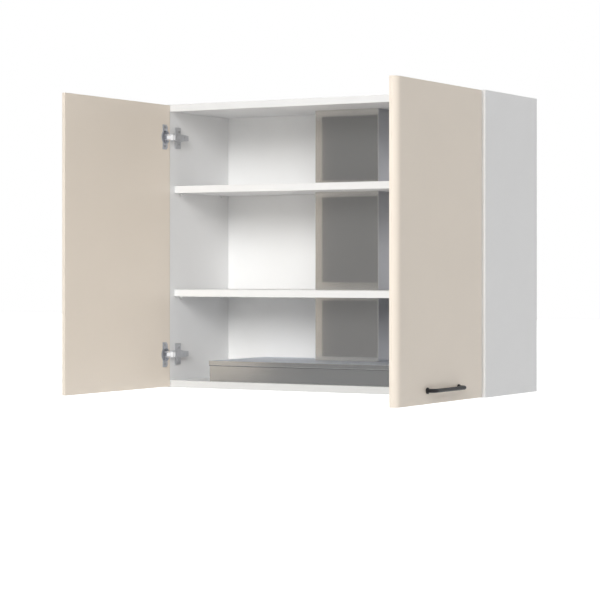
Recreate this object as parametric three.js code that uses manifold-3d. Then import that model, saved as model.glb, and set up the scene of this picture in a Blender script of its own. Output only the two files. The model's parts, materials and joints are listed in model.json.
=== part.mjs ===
// Kitchen wall cabinet with two hinged doors and a fitted cooker hood.
// Millimetres. X runs to the right, Y into the wall and Z up.
// X = 0 is the middle, Y = 0 the wall and Z = 0 the underside of the cabinet.
// It is drawn as photographed, with both doors open at a right angle.

import * as THREE from 'three';
import { mergeVertices } from 'three/addons/utils/BufferGeometryUtils.js';
import Module from 'manifold-3d';

const wasm = await Module();
wasm.setup();

// General clearances
const seatGap = 0.3;
const runningGap = 0.3;
const cutOverrun = 1;
const weldTolerance = 0.0003;

// Carcass boards
const cabinetWidth = 900;
const cabinetHeight = 720;
const cabinetDepth = 300;
const boardThickness = 18;
const backThickness = 3;
const backSetback = 17;
const backGrooveDepth = 6;

// Shelves and the pins that carry them
const lowerShelfShare = 0.3208;
const upperShelfShare = 0.6875;
const shelfThickness = 18;
const shelfRecess = 18;
const shelfEndGap = 1;
const shelfNotchGap = 3;
const shelfPinRadius = 3;
const shelfPinShankRadius = 2.5;
const shelfPinShankLength = 8;
const shelfPinLength = 8;
const shelfPinFrontInset = 45;
const shelfPinBackInset = 60;

// Doors, with quarter-round upright edges on the outer side
const doorThickness = 18;
const doorSideReveal = 2;
const doorEndReveal = 2;
const doorMeetingGap = 4;
const doorFrontGap = 2;
const doorEdgeFlatShare = 0.36;
const doorEdgeReach = 19;
const doorEdgeBulge = 3;
const openDoorInset = 19;
const openDoorStandOff = 3;

// Bow handles
const handleCentres = 160;
const handleShift = 3;
const handleHeight = 32;
const handleProjection = 24;
const handleRodDiameter = 9;
const handleBendRadius = 12;
const handleDiscDiameter = 14;
const handleDiscThickness = 3;
const handleBoreDepth = 9;

// Handle screws, flush on the inside of the door
const screwShankRadius = 2;
const screwHeadRadius = 4;
const screwHeadThickness = 3;
const screwThreadLength = 7;

// Hinges: heights, and the pivots that shape the swing
const hingeInset = 84;
const cupPivotFromEdge = 10;
const cupPivotDepth = 0.5;
const loosePivotFromEdge = 10.7;
const loosePivotDepth = 6.1;
const armPivotShift = 18;
const secondPivotForward = 8.72;
const pivotPinRadius = 1;
const linkEyeRadius = 2.1;
const looseEyeRadius = 1.6;
const linkHalfThickness = 0.9;
const frontLinkHalfThickness = 0.7;
const linkHalfHeight = 4;
const frontLinkHalfHeight = 7;
const prongThickness = 1.4;
const frontLinkWebShare = 0.25;

// Hinge cup, pressed into the door
const cupRadius = 17.5;
const cupDepth = 11.5;
const cupWall = 1;
const cupFloor = 1.2;
const cupCentreFromEdge = 20.5;
const cupFlangeThickness = 1;
const cupFlangeLip = 0.8;
const cupWingHalfHeight = 31.5;
const cupWingNear = 12;
const cupWingFar = 33.5;
const cupWingChamfer = 5;
const cupDowelRadius = 2;
const cupDowelDepth = 9;
const cupDowelHeight = 24;
const cupDowelFromEdge = 24;
const cupMouthHalfHeight = 8.4;
const cupMouthDepth = 6;
const lugThickness = 1;
const lugRadius = 2.15;

// Hinge arm, a channel over the mounting plate
const armThickness = 1.4;
const armNoseRadius = 3.2;
const armLength = 59;
const armWebForward = 0.5;
const armCheekDepth = 12.5;
const armRearHalfHeight = 6.6;
const armTaperShare = 0.45;

// Hinge mounting plate, a cross screwed to the side panel
const plateThickness = 2.5;
const plateLineFromFront = 37;
const plateWingForward = 16.5;
const plateWingBack = 8.5;
const plateWingHalfHeight = 27;
const plateBarHalfHeight = 9;
const plateBarForward = 29;
const plateBarBack = 16;
const plateRailHeight = 4.5;
const plateRailHalfWidth = 5;
const plateDowelRadius = 2.5;
const plateDowelDepth = 9;
const plateDowelHeight = 16;
const plateScrewRadius = 2;
const plateScrewHeadRadius = 3.4;
const plateScrewHeadThickness = 1.6;
const plateScrewForward = 25;
const plateScrewBack = 7.5;

// Hangers behind the back panel
const hangerSheet = 2.5;
const hangerHeight = 90;
const hangerTopGap = 4;
const hangerWidth = 30;
const hangerHookDrop = 28;
const hangerFrontGap = 1.5;
const hangerBackGap = 0.5;

// Cooker hood, standing on the bottom panel
const hoodWidth = 622;
const hoodOffset = -4.5;
const hoodHeight = 52.2;
const hoodSheet = 1.2;
const hoodBackGap = 1;
const lidLip = 11.5;
const lidSheet = 1.2;
const trayFrontMargin = 24;
const trayBackMargin = 24;
const traySideMargin = 24;
const trayCutGap = 2;
const trayRise = 2;
const controlStripDepth = 58;
const filterLedge = 9;
const filterDividerHalf = 9;

// Grease filters, lamps and push buttons in the underside of the hood
const filterThickness = 9;
const filterFrame = 12;
const filterSlotWidth = 7;
const filterSlotPitch = 22;
const filterSlotDepth = 3;
const filterEdgeGap = 2;
const lampRadius = 21;
const lampRim = 2.5;
const lampHeight = 12;
const lampFlange = 1.5;
const lampFromHoodEnd = 111;
const buttonWidth = 18;
const buttonDepth = 10;
const buttonHeight = 12;
const buttonCollar = 1.5;
const buttonCollarThickness = 2;
const buttonPitch = 26;
const buttonProud = 3;

// Duct cover, outlet duct and fan inside it
const coverWidth = 180;
const coverSheet = 1;
const coverDepth = 124.7;
const coverReturn = 12;
const ductRadius = 50;
const fanHousingRadius = 59;
const fanHousingHeight = 120;
const ductConeHeight = 40;
const ductWall = 1.5;
const ductTopInset = 1;
const lidInletRadius = 52;
const motorRadius = 30;
const motorHeight = 60;
const motorAboveLid = 50;
const motorDomeHeight = 8;
const motorShaftRadius = 3;
const motorShaftLength = 30;
const motorArmThickness = 2.5;
const motorArmHeight = 14;
const motorArms = 3;
const impellerRadius = 50;
const impellerHubRadius = 19;
const impellerHubHeight = 20;
const impellerHubWall = 3;
const impellerBlades = 7;
const impellerBladeThickness = 2;
const impellerBladeChord = 26;
const impellerRootPitchDegrees = 48;
const impellerTipPitchDegrees = 26;
const impellerBladeBedding = 2;

// Facets
const fineSegments = 30;
const cupSegments = 24;
const roundSegments = 18;
const smallSegments = 10;
const bendSegments = 5;
const handleSteps = 20;
const handleSectionSegments = 5;
const bladeSteps = 3;
const bladeSectionSegments = 3;

// Derived frame
const halfWidth = cabinetWidth / 2;
const innerHalf = halfWidth - boardThickness;
const topUnderside = cabinetHeight - boardThickness;
const backFront = -(backSetback + backThickness);
const frontPlane = -cabinetDepth;
const doorWidth = (cabinetWidth - 2 * doorSideReveal - doorMeetingGap) / 2;
const openFaceX = -(halfWidth - openDoorInset);
const openEdgeY = frontPlane - openDoorStandOff;
const shelfHeights = {
  lower: cabinetHeight * lowerShelfShare,
  upper: cabinetHeight * upperShelfShare,
};
const hingeHeights = { lower: hingeInset, upper: cabinetHeight - hingeInset };
const hoodBase = boardThickness + seatGap;
const hoodTop = boardThickness + hoodHeight;
const hoodBack = backFront - hoodBackGap;
const hoodHalf = hoodWidth / 2;
const coverHalf = coverWidth / 2;
const coverFront = backFront - seatGap - coverDepth;
const ductCentreY = coverFront + coverDepth / 2;

// Finishes
const finishes = {
  carcass: { color: 0xf1f1f0, roughness: 0.45, metalness: 0 },
  door: { color: 0xd6ccbf, roughness: 0.4, metalness: 0 },
  black: { color: 0x2b2a2a, roughness: 0.4, metalness: 0.6 },
  steel: { color: 0x9c9c9b, roughness: 0.35, metalness: 1 },
  nickel: { color: 0xa9a9aa, roughness: 0.3, metalness: 1 },
  aluminium: { color: 0xc4c6c8, roughness: 0.45, metalness: 1 },
  plastic: { color: 0x3a3a3c, roughness: 0.5, metalness: 0 },
  pale: { color: 0xe8e8e6, roughness: 0.4, metalness: 0 },
};

const group = new THREE.Group();

// Solids from three.js geometry
function solidOf(geometry) {
  const bare = geometry.clone();
  bare.deleteAttribute('normal');
  bare.deleteAttribute('uv');
  const merged = mergeVertices(bare, weldTolerance);
  const mesh = new wasm.Mesh({
    numProp: 3,
    vertProperties: Float32Array.from(merged.attributes.position.array),
    triVerts: Uint32Array.from(merged.index.array),
  });
  return new wasm.Manifold(mesh);
}

function geometryOf(solid) {
  const mesh = solid.getMesh();
  const geometry = new THREE.BufferGeometry();
  geometry.setAttribute('position', new THREE.BufferAttribute(mesh.vertProperties, 3));
  geometry.setIndex(new THREE.BufferAttribute(mesh.triVerts, 1));
  return geometry;
}

function join(...solids) {
  return solids.reduce((sum, solid) => sum.add(solid));
}

function cut(solid, ...tools) {
  return tools.reduce((rest, tool) => rest.subtract(tool), solid);
}

function box(x, y, z) {
  const geometry = new THREE.BoxGeometry(x[1] - x[0], y[1] - y[0], z[1] - z[0]);
  geometry.translate((x[0] + x[1]) / 2, (y[0] + y[1]) / 2, (z[0] + z[1]) / 2);
  return solidOf(geometry);
}

function uprightCylinder(x, y, z, radius, segments) {
  const geometry = new THREE.CylinderGeometry(radius, radius, z[1] - z[0], segments);
  geometry.rotateX(Math.PI / 2);
  geometry.translate(x, y, (z[0] + z[1]) / 2);
  return solidOf(geometry);
}

function crossCylinder(x, y, z, radius, segments) {
  const geometry = new THREE.CylinderGeometry(radius, radius, x[1] - x[0], segments);
  geometry.rotateZ(Math.PI / 2);
  geometry.translate((x[0] + x[1]) / 2, y, z);
  return solidOf(geometry);
}

// A flat outline in X and Y, raised between two heights
function prism(shape, z, curveSegments = bendSegments) {
  const geometry = new THREE.ExtrudeGeometry(shape, {
    depth: z[1] - z[0],
    bevelEnabled: false,
    curveSegments,
  });
  geometry.translate(0, 0, z[0]);
  return solidOf(geometry);
}

// A flat outline in Y and Z, thickened between two X planes
function sideways(shape, x, curveSegments = bendSegments) {
  const geometry = new THREE.ExtrudeGeometry(shape, {
    depth: x[1] - x[0],
    bevelEnabled: false,
    curveSegments,
  });
  geometry.rotateY(Math.PI / 2);
  geometry.rotateX(Math.PI / 2);
  geometry.translate(x[0], 0, 0);
  return solidOf(geometry);
}

function outline(points) {
  return new THREE.Shape(points.map(([u, v]) => new THREE.Vector2(u, v)));
}

function turned(profile, segments) {
  const points = profile.map(([radius, height]) => new THREE.Vector2(radius, height));
  const geometry = new THREE.LatheGeometry(points, segments);
  geometry.rotateX(Math.PI / 2);
  return solidOf(geometry);
}

function mirrored(geometry) {
  const copy = geometry.clone();
  copy.scale(-1, 1, 1);
  const order = copy.index.array;
  for (let i = 0; i < order.length; i += 3) {
    const first = order[i];
    order[i] = order[i + 1];
    order[i + 1] = first;
  }
  return copy;
}

function addPiece(name, solid, finish, onRight = false) {
  const geometry = onRight ? mirrored(geometryOf(solid)) : geometryOf(solid);
  const mesh = new THREE.Mesh(geometry, new THREE.MeshStandardMaterial(finish));
  mesh.name = name;
  group.add(mesh);
}

// Both sides of the cabinet, drawn on the left and mirrored to the right
const sides = [
  { side: 'left', onRight: false },
  { side: 'right', onRight: true },
];

// Shelf pins: two in front and two behind on each side, under each shelf
function shelfPinPlaces() {
  const places = [];
  for (const [level, height] of Object.entries(shelfHeights)) {
    const z = height - seatGap - shelfPinRadius;
    places.push({ level, spot: 'front', y: frontPlane + shelfPinFrontInset, z });
    places.push({ level, spot: 'back', y: -shelfPinBackInset, z });
  }
  return places;
}

function shelfPin(place) {
  const shankEnd = -innerHalf - shelfPinShankLength;
  const shank = crossCylinder(
    [shankEnd, -innerHalf + cutOverrun], place.y, place.z, shelfPinShankRadius, smallSegments);
  const head = crossCylinder(
    [-innerHalf + seatGap, -innerHalf + shelfPinLength], place.y, place.z, shelfPinRadius, smallSegments);
  return join(shank, head);
}

// Carcass boards
function sidePanel() {
  const board = box([-halfWidth, -innerHalf], [frontPlane, 0], [0, cabinetHeight]);
  const holes = shelfPinPlaces().map((place) => crossCylinder(
    [-innerHalf - shelfPinShankLength - runningGap, -innerHalf + cutOverrun],
    place.y, place.z, shelfPinShankRadius + runningGap, smallSegments));
  const hingeHoles = Object.values(hingeHeights).flatMap((height) => [-1, 1].map((end) => crossCylinder(
    [-innerHalf - plateDowelDepth - runningGap, -innerHalf + cutOverrun],
    frontPlane + plateLineFromFront, height + end * plateDowelHeight,
    plateDowelRadius + runningGap, smallSegments)));
  return cut(board, backGroove('side'), ...holes, ...hingeHoles);
}

// The groove that the back panel stands in, round the inside of the carcass
function backGroove(board) {
  const y = [backFront - seatGap, -backSetback + seatGap];
  const reach = innerHalf + backGrooveDepth;
  const z = [boardThickness - backGrooveDepth, topUnderside + backGrooveDepth];
  if (board === 'side') {
    return box([-reach, -innerHalf + cutOverrun], y, z);
  }
  return box([-reach, reach], y, z);
}

function topPanel() {
  const board = box(
    [-innerHalf + seatGap, innerHalf - seatGap], [frontPlane, 0], [topUnderside, cabinetHeight]);
  const outlet = uprightCylinder(
    hoodOffset, ductCentreY, [topUnderside - cutOverrun, cabinetHeight + cutOverrun],
    ductRadius + runningGap, fineSegments);
  return cut(board, backGroove('top'), outlet);
}

// The tray of the hood hangs in this opening
function trayPlan(shrink) {
  return {
    x: [
      hoodOffset - hoodHalf + traySideMargin + shrink,
      hoodOffset + hoodHalf - traySideMargin - shrink,
    ],
    y: [frontPlane + trayFrontMargin + shrink, hoodBack - trayBackMargin - shrink],
  };
}

function bottomPanel() {
  const board = box(
    [-innerHalf + seatGap, innerHalf - seatGap], [frontPlane, 0], [0, boardThickness]);
  const plan = trayPlan(0);
  const opening = box(plan.x, plan.y, [-cutOverrun, boardThickness + cutOverrun]);
  return cut(board, backGroove('bottom'), opening);
}

function backPanel() {
  const reach = innerHalf + backGrooveDepth - seatGap;
  return box(
    [-reach, reach], [backFront, -backSetback],
    [boardThickness - backGrooveDepth + seatGap, topUnderside + backGrooveDepth - seatGap]);
}

function shelf(height) {
  const end = innerHalf - shelfEndGap;
  const back = backFront - shelfEndGap;
  const board = box([-end, end], [frontPlane + shelfRecess, back], [height, height + shelfThickness]);
  const notch = box(
    [hoodOffset - coverHalf - shelfNotchGap, hoodOffset + coverHalf + shelfNotchGap],
    [coverFront - shelfNotchGap, back + cutOverrun],
    [height - cutOverrun, height + shelfThickness + cutOverrun]);
  return cut(board, notch);
}

// A hanger: a flange on the side panel and a hook over the rail on the wall
function hanger() {
  const front = -backSetback + hangerFrontGap;
  const back = -hangerBackGap;
  const top = topUnderside - hangerTopGap;
  const flange = box(
    [-innerHalf + seatGap, -innerHalf + seatGap + hangerSheet], [front, back], [top - hangerHeight, top]);
  const hook = outline([
    [front, top - hangerHeight],
    [front + hangerSheet, top - hangerHeight],
    [front + hangerSheet, top - hangerSheet],
    [back - hangerSheet, top - hangerSheet],
    [back - hangerSheet, top - hangerHookDrop],
    [back, top - hangerHookDrop],
    [back, top],
    [front, top],
  ]);
  return join(flange, sideways(hook, [-innerHalf + seatGap, -innerHalf + seatGap + hangerWidth]));
}

// Doors. A place on the open left door is given from its hinged edge and its inner face.
function onDoor(fromEdge, depth) {
  return [openFaceX - depth, openEdgeY - fromEdge];
}

// A shallow arc from one point to the next, round to the right of the way, by its rise
function bulgedTo(shape, [x0, y0], [x1, y1], rise) {
  const chord = Math.hypot(x1 - x0, y1 - y0);
  const radius = (chord * chord / 4 + rise * rise) / (2 * rise);
  const inward = (radius - rise) / chord;
  const x = (x0 + x1) / 2 - (y1 - y0) * inward;
  const y = (y0 + y1) / 2 + (x1 - x0) * inward;
  shape.absarc(x, y, radius, Math.atan2(y0 - y, x0 - x), Math.atan2(y1 - y, x1 - x), false);
}

function doorBoard() {
  const outerX = openFaceX - doorThickness;
  const flatX = openFaceX - doorThickness * doorEdgeFlatShare;
  const freeY = openEdgeY - doorWidth;
  const shape = new THREE.Shape();
  shape.moveTo(openFaceX, openEdgeY);
  shape.lineTo(flatX, openEdgeY);
  bulgedTo(shape, [flatX, openEdgeY], [outerX, openEdgeY - doorEdgeReach], doorEdgeBulge);
  shape.lineTo(outerX, freeY + doorEdgeReach);
  bulgedTo(shape, [outerX, freeY + doorEdgeReach], [flatX, freeY], doorEdgeBulge);
  shape.lineTo(openFaceX, freeY);
  shape.closePath();
  return prism(shape, [doorEndReveal, cabinetHeight - doorEndReveal], bendSegments);
}

function handlePlaces() {
  const middle = doorWidth / 2 - handleShift;
  return [['near', middle + handleCentres / 2], ['far', middle - handleCentres / 2]];
}

function door() {
  const cups = Object.values(hingeHeights).flatMap((height) => {
    const [faceX, cupY] = onDoor(cupCentreFromEdge, 0);
    const dowelY = onDoor(cupDowelFromEdge, 0)[1];
    const cup = crossCylinder(
      [faceX - cupDepth - runningGap, faceX + cutOverrun], cupY, height,
      cupRadius + runningGap, cupSegments);
    const dowels = [-1, 1].map((end) => crossCylinder(
      [faceX - cupDowelDepth - runningGap, faceX + cutOverrun], dowelY, height + end * cupDowelHeight,
      cupDowelRadius + runningGap, smallSegments));
    return [cup, ...dowels];
  });
  const screws = handlePlaces().flatMap(([, fromEdge]) => {
    const [faceX, y] = onDoor(fromEdge, 0);
    const shank = crossCylinder(
      [faceX - doorThickness - cutOverrun, faceX], y, handleHeight,
      screwShankRadius + runningGap, smallSegments);
    const head = crossCylinder(
      [faceX - screwHeadThickness - seatGap, faceX + cutOverrun], y, handleHeight,
      screwHeadRadius + runningGap, smallSegments);
    return [shank, head];
  });
  return cut(doorBoard(), ...cups, ...screws);
}

// The rod runs out of the door, along it and back into it
class BowPath extends THREE.Curve {
  constructor(faceX, nearY, farY, height) {
    super();
    const reach = handleProjection - handleRodDiameter / 2;
    const turn = handleBendRadius;
    const quarter = Math.PI / 2;
    const spans = [
      { kind: 'line', length: reach - turn },
      { kind: 'bend', length: turn * quarter },
      { kind: 'line', length: farY - nearY - 2 * turn },
      { kind: 'bend', length: turn * quarter },
      { kind: 'line', length: reach - turn },
    ];
    this.start = new THREE.Vector3(faceX, nearY, height);
    this.spans = spans;
    this.total = spans.reduce((sum, span) => sum + span.length, 0);
  }

  getPoint(t, target = new THREE.Vector3()) {
    let left = t * this.total;
    let heading = Math.PI;
    target.copy(this.start);
    for (const span of this.spans) {
      const run = Math.min(left, span.length);
      if (span.kind === 'line') {
        target.x += run * Math.cos(heading);
        target.y += run * Math.sin(heading);
      } else {
        const swept = run / handleBendRadius;
        target.x += handleBendRadius * (Math.sin(heading) - Math.sin(heading - swept));
        target.y += handleBendRadius * (Math.cos(heading - swept) - Math.cos(heading));
        heading -= swept;
      }
      left -= run;
    }
    return target;
  }
}

function handle() {
  const [near, far] = handlePlaces().map(([, fromEdge]) => onDoor(fromEdge, doorThickness + seatGap));
  const ring = new THREE.Shape();
  ring.absarc(0, 0, handleRodDiameter / 2, 0, 2 * Math.PI, false);
  const rod = solidOf(new THREE.ExtrudeGeometry(ring, {
    steps: handleSteps,
    curveSegments: handleSectionSegments,
    extrudePath: new BowPath(near[0], near[1], far[1], handleHeight),
  }));
  const discs = [near, far].map(([x, y]) => crossCylinder(
    [x - handleDiscThickness, x], y, handleHeight, handleDiscDiameter / 2, roundSegments));
  const bores = [near, far].map(([x, y]) => crossCylinder(
    [x - handleBoreDepth, x + cutOverrun], y, handleHeight, screwShankRadius + runningGap, smallSegments));
  return cut(join(rod, ...discs), ...bores);
}

function handleScrew(fromEdge) {
  const [faceX, y] = onDoor(fromEdge, 0);
  const shank = crossCylinder(
    [faceX - doorThickness - screwThreadLength, faceX - screwHeadThickness / 2],
    y, handleHeight, screwShankRadius, smallSegments);
  const head = crossCylinder(
    [faceX - screwHeadThickness, faceX], y, handleHeight, screwHeadRadius, smallSegments);
  return join(shank, head);
}

// Hinge pivots, in plan, for the left side with its door open.
// The rear link swings the cup pivot from its closed to its open place.
function hingePivots() {
  const closed = new THREE.Vector2(
    -halfWidth + doorSideReveal + cupPivotFromEdge, frontPlane - doorFrontGap - cupPivotDepth);
  const open = new THREE.Vector2(...onDoor(cupPivotFromEdge, cupPivotDepth));
  const travel = open.clone().sub(closed);
  const inward = new THREE.Vector2(-travel.y, travel.x).normalize();
  const arm = closed.clone().add(open).multiplyScalar(1 / 2).addScaledVector(inward, armPivotShift);
  const second = new THREE.Vector2(arm.x, arm.y - secondPivotForward);
  const loose = new THREE.Vector2(...onDoor(loosePivotFromEdge, loosePivotDepth));
  return { arm, second, cup: open, loose };
}

// A straight strip between two pivots
function strip(from, to, halfThickness, z) {
  const along = to.clone().sub(from).normalize().multiplyScalar(halfThickness);
  const across = new THREE.Vector2(-along.y, along.x);
  const corners = [
    from.clone().sub(across), to.clone().sub(across), to.clone().add(across), from.clone().add(across)];
  return prism(outline(corners.map((corner) => [corner.x, corner.y])), z);
}

function disc(centre, z, radius) {
  return uprightCylinder(centre.x, centre.y, z, radius, smallSegments);
}

function span(height, half) {
  return [height - half, height + half];
}

function rearLink(height) {
  const { arm, cup } = hingePivots();
  const tall = span(height, frontLinkHalfHeight);
  const low = span(height, linkHalfHeight);
  const body = join(
    strip(arm, cup, linkHalfThickness, low), disc(arm, tall, linkEyeRadius), disc(cup, low, linkEyeRadius));
  const over = span(height, frontLinkHalfHeight + cutOverrun);
  return cut(
    body, disc(arm, over, pivotPinRadius + runningGap), disc(cup, over, pivotPinRadius + runningGap));
}

function frontLink(height) {
  const { second, loose } = hingePivots();
  const tall = span(height, frontLinkHalfHeight);
  const body = join(
    strip(second, loose, frontLinkHalfThickness, tall),
    disc(second, tall, linkEyeRadius),
    disc(loose, tall, looseEyeRadius));
  const webEnd = second.clone().lerp(loose, frontLinkWebShare);
  const beyond = loose.clone().add(loose.clone().sub(second).normalize().multiplyScalar(linkEyeRadius));
  const slot = strip(
    webEnd, beyond, linkEyeRadius, span(height, frontLinkHalfHeight - prongThickness));
  const over = span(height, frontLinkHalfHeight + cutOverrun);
  return cut(body, slot, disc(second, over, pivotPinRadius + runningGap));
}

function hingeArm(height) {
  const { arm, second } = hingePivots();
  const outer = frontLinkHalfHeight + runningGap + armThickness;
  const webX = [arm.x + linkEyeRadius + runningGap, arm.x + linkEyeRadius + runningGap + armThickness];
  const rear = arm.y + armLength;
  const webFront = frontPlane + armWebForward;
  const cheekX = webX[1] - armCheekDepth;
  const noseX = second.x + armNoseRadius;
  const cheek = new THREE.Shape();
  cheek.moveTo(webX[1], rear);
  cheek.lineTo(cheekX, rear);
  cheek.lineTo(cheekX, webFront + armNoseRadius);
  cheek.lineTo(second.x - armNoseRadius, second.y);
  cheek.absarc(second.x, second.y, armNoseRadius, Math.PI, 2 * Math.PI, false);
  cheek.lineTo(noseX, webFront);
  cheek.lineTo(webX[1], webFront);
  cheek.closePath();
  const block = prism(cheek, span(height, outer));
  const hollow = box(
    [cheekX - armNoseRadius - cutOverrun, webX[0]], [second.y - 2 * armNoseRadius, rear + cutOverrun],
    span(height, outer - armThickness));
  const nose = box(
    [webX[0] - cutOverrun, webX[1] + cutOverrun], [second.y - 2 * armNoseRadius, webFront],
    span(height, outer - armThickness));
  const taperStart = rear - armLength * armTaperShare;
  const tapers = [-1, 1].map((end) => {
    const shape = outline([
      [taperStart, height + end * outer],
      [rear + cutOverrun, height + end * armRearHalfHeight],
      [rear + cutOverrun, height + end * (outer + cutOverrun)],
      [taperStart, height + end * (outer + cutOverrun)],
    ]);
    return sideways(shape, [cheekX - cutOverrun, webX[1] + cutOverrun]);
  });
  const pins = [arm, second].map((pivot) => disc(pivot, span(height, outer), pivotPinRadius));
  const screws = plateScrewPlaces().map((y) => crossCylinder(
    [webX[0] - cutOverrun, webX[1] + cutOverrun], y, height, plateScrewRadius + runningGap, smallSegments));
  return join(cut(block, hollow, nose, ...tapers, ...screws), ...pins);
}

function plateScrewPlaces() {
  const line = frontPlane + plateLineFromFront;
  return [line - plateScrewForward, line + plateScrewBack];
}

function mountingPlate(height) {
  const { arm } = hingePivots();
  const line = frontPlane + plateLineFromFront;
  const base = [-innerHalf + seatGap, -innerHalf + seatGap + plateThickness];
  const webOuter = arm.x + linkEyeRadius + runningGap + armThickness;
  const wings = box(
    base, [line - plateWingForward, line + plateWingBack], span(height, plateWingHalfHeight));
  const bar = box(base, [line - plateBarForward, line + plateBarBack], span(height, plateBarHalfHeight));
  const railX = [base[0], base[1] + plateRailHeight];
  const rail = box(railX, [line - plateBarForward, line + plateBarBack], span(height, plateRailHalfWidth));
  const dowels = [-1, 1].map((end) => crossCylinder(
    [-innerHalf - plateDowelDepth, base[1]], line, height + end * plateDowelHeight,
    plateDowelRadius, smallSegments));
  const screws = plateScrewPlaces().flatMap((y) => [
    crossCylinder([base[0], webOuter + seatGap + plateScrewHeadThickness], y, height,
      plateScrewRadius, smallSegments),
    crossCylinder([webOuter + seatGap, webOuter + seatGap + plateScrewHeadThickness], y, height,
      plateScrewHeadRadius, smallSegments),
  ]);
  return join(wings, bar, rail, ...dowels, ...screws);
}

function hingeCup(height) {
  const { cup } = hingePivots();
  const [faceX, cupY] = onDoor(cupCentreFromEdge, 0);
  const rimX = faceX + seatGap + cupFlangeThickness;
  const nearY = onDoor(cupWingNear, 0)[1];
  const farY = onDoor(cupWingFar, 0)[1];
  const top = height + cupWingHalfHeight;
  const bottom = height - cupWingHalfHeight;
  const wing = sideways(outline([
    [farY, bottom],
    [nearY - cupWingChamfer, bottom],
    [nearY, bottom + cupWingChamfer],
    [nearY, top - cupWingChamfer],
    [nearY - cupWingChamfer, top],
    [farY, top],
  ]), [faceX + seatGap, rimX]);
  const rim = crossCylinder([faceX + seatGap, rimX], cupY, height, cupRadius + cupFlangeLip, cupSegments);
  const body = crossCylinder([faceX - cupDepth, rimX], cupY, height, cupRadius, cupSegments);
  const hollow = crossCylinder(
    [faceX - cupDepth + cupFloor, rimX + cutOverrun], cupY, height, cupRadius - cupWall, cupSegments);
  const mouth = box(
    [faceX - cupMouthDepth, rimX + cutOverrun], [cupY, openEdgeY + cutOverrun],
    span(height, cupMouthHalfHeight));
  const dowelY = onDoor(cupDowelFromEdge, 0)[1];
  const dowels = [-1, 1].map((end) => crossCylinder(
    [faceX - cupDowelDepth, rimX], dowelY, height + end * cupDowelHeight, cupDowelRadius, smallSegments));
  const lugZ = linkHalfHeight + runningGap;
  const lugs = [-1, 1].map((end) => {
    const faces = [height + end * lugZ, height + end * (lugZ + lugThickness)].sort((a, b) => a - b);
    const stem = box(
      [faceX - cupDepth + cupFloor / 2, cup.x], [cup.y - lugRadius, cup.y + lugRadius], faces);
    return join(disc(cup, faces, lugRadius), stem);
  });
  const pin = disc(cup, span(height, lugZ + lugThickness), pivotPinRadius);
  const shell = cut(join(wing, rim, body, ...dowels), hollow, mouth);
  return join(shell, ...lugs, pin);
}

// Cooker hood
function hoodPlan(shrink) {
  return {
    x: [hoodOffset - hoodHalf + shrink, hoodOffset + hoodHalf - shrink],
    y: [frontPlane + shrink, hoodBack - shrink],
  };
}

function filterOpenings() {
  const tray = trayPlan(trayCutGap + hoodSheet);
  const y = [tray.y[0] + controlStripDepth, tray.y[1] - filterLedge];
  return [
    ['left', { x: [tray.x[0] + filterLedge, hoodOffset - filterDividerHalf], y }],
    ['right', { x: [hoodOffset + filterDividerHalf, tray.x[1] - filterLedge], y }],
  ];
}

function stripMiddle() {
  return trayPlan(trayCutGap + hoodSheet).y[0] + controlStripDepth / 2;
}

function lampPlaces() {
  return [
    ['left', hoodOffset - hoodWidth / 2 + lampFromHoodEnd],
    ['right', hoodOffset + hoodWidth / 2 - lampFromHoodEnd],
  ];
}

function buttonPlaces() {
  return [
    ['light', hoodOffset - buttonPitch],
    ['low', hoodOffset],
    ['high', hoodOffset + buttonPitch],
  ];
}

function hoodBody() {
  const outer = hoodPlan(lidSheet + seatGap);
  const inner = hoodPlan(lidSheet + seatGap + hoodSheet);
  const trayOuter = trayPlan(trayCutGap);
  const trayInner = trayPlan(trayCutGap + hoodSheet);
  const rim = hoodTop - lidSheet - seatGap;
  const shell = join(
    box(outer.x, outer.y, [hoodBase, rim]),
    box(trayOuter.x, trayOuter.y, [trayRise, hoodBase + hoodSheet]));
  const hollow = join(
    box(inner.x, inner.y, [hoodBase + hoodSheet, rim + cutOverrun]),
    box(trayInner.x, trayInner.y, [trayRise + hoodSheet, rim + cutOverrun]));
  const through = [trayRise - cutOverrun, trayRise + hoodSheet + cutOverrun];
  const filters = filterOpenings().map(([, plan]) => box(plan.x, plan.y, through));
  const lamps = lampPlaces().map(([, x]) => uprightCylinder(
    x, stripMiddle(), through, lampRadius - lampRim + runningGap, roundSegments));
  const buttons = buttonPlaces().map(([, x]) => box(
    span(x, buttonWidth / 2 + runningGap), span(stripMiddle(), buttonDepth / 2 + runningGap), through));
  return cut(shell, hollow, ...filters, ...lamps, ...buttons);
}

function hoodTopCover() {
  const outer = hoodPlan(0);
  const inner = hoodPlan(lidSheet);
  const block = box(outer.x, outer.y, [hoodTop - lidLip, hoodTop]);
  const hollow = box(inner.x, inner.y, [hoodTop - lidLip - cutOverrun, hoodTop - lidSheet]);
  const inlet = uprightCylinder(
    hoodOffset, ductCentreY, [hoodTop - lidSheet - cutOverrun, hoodTop + cutOverrun],
    lidInletRadius, fineSegments);
  return cut(block, hollow, inlet);
}

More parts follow.
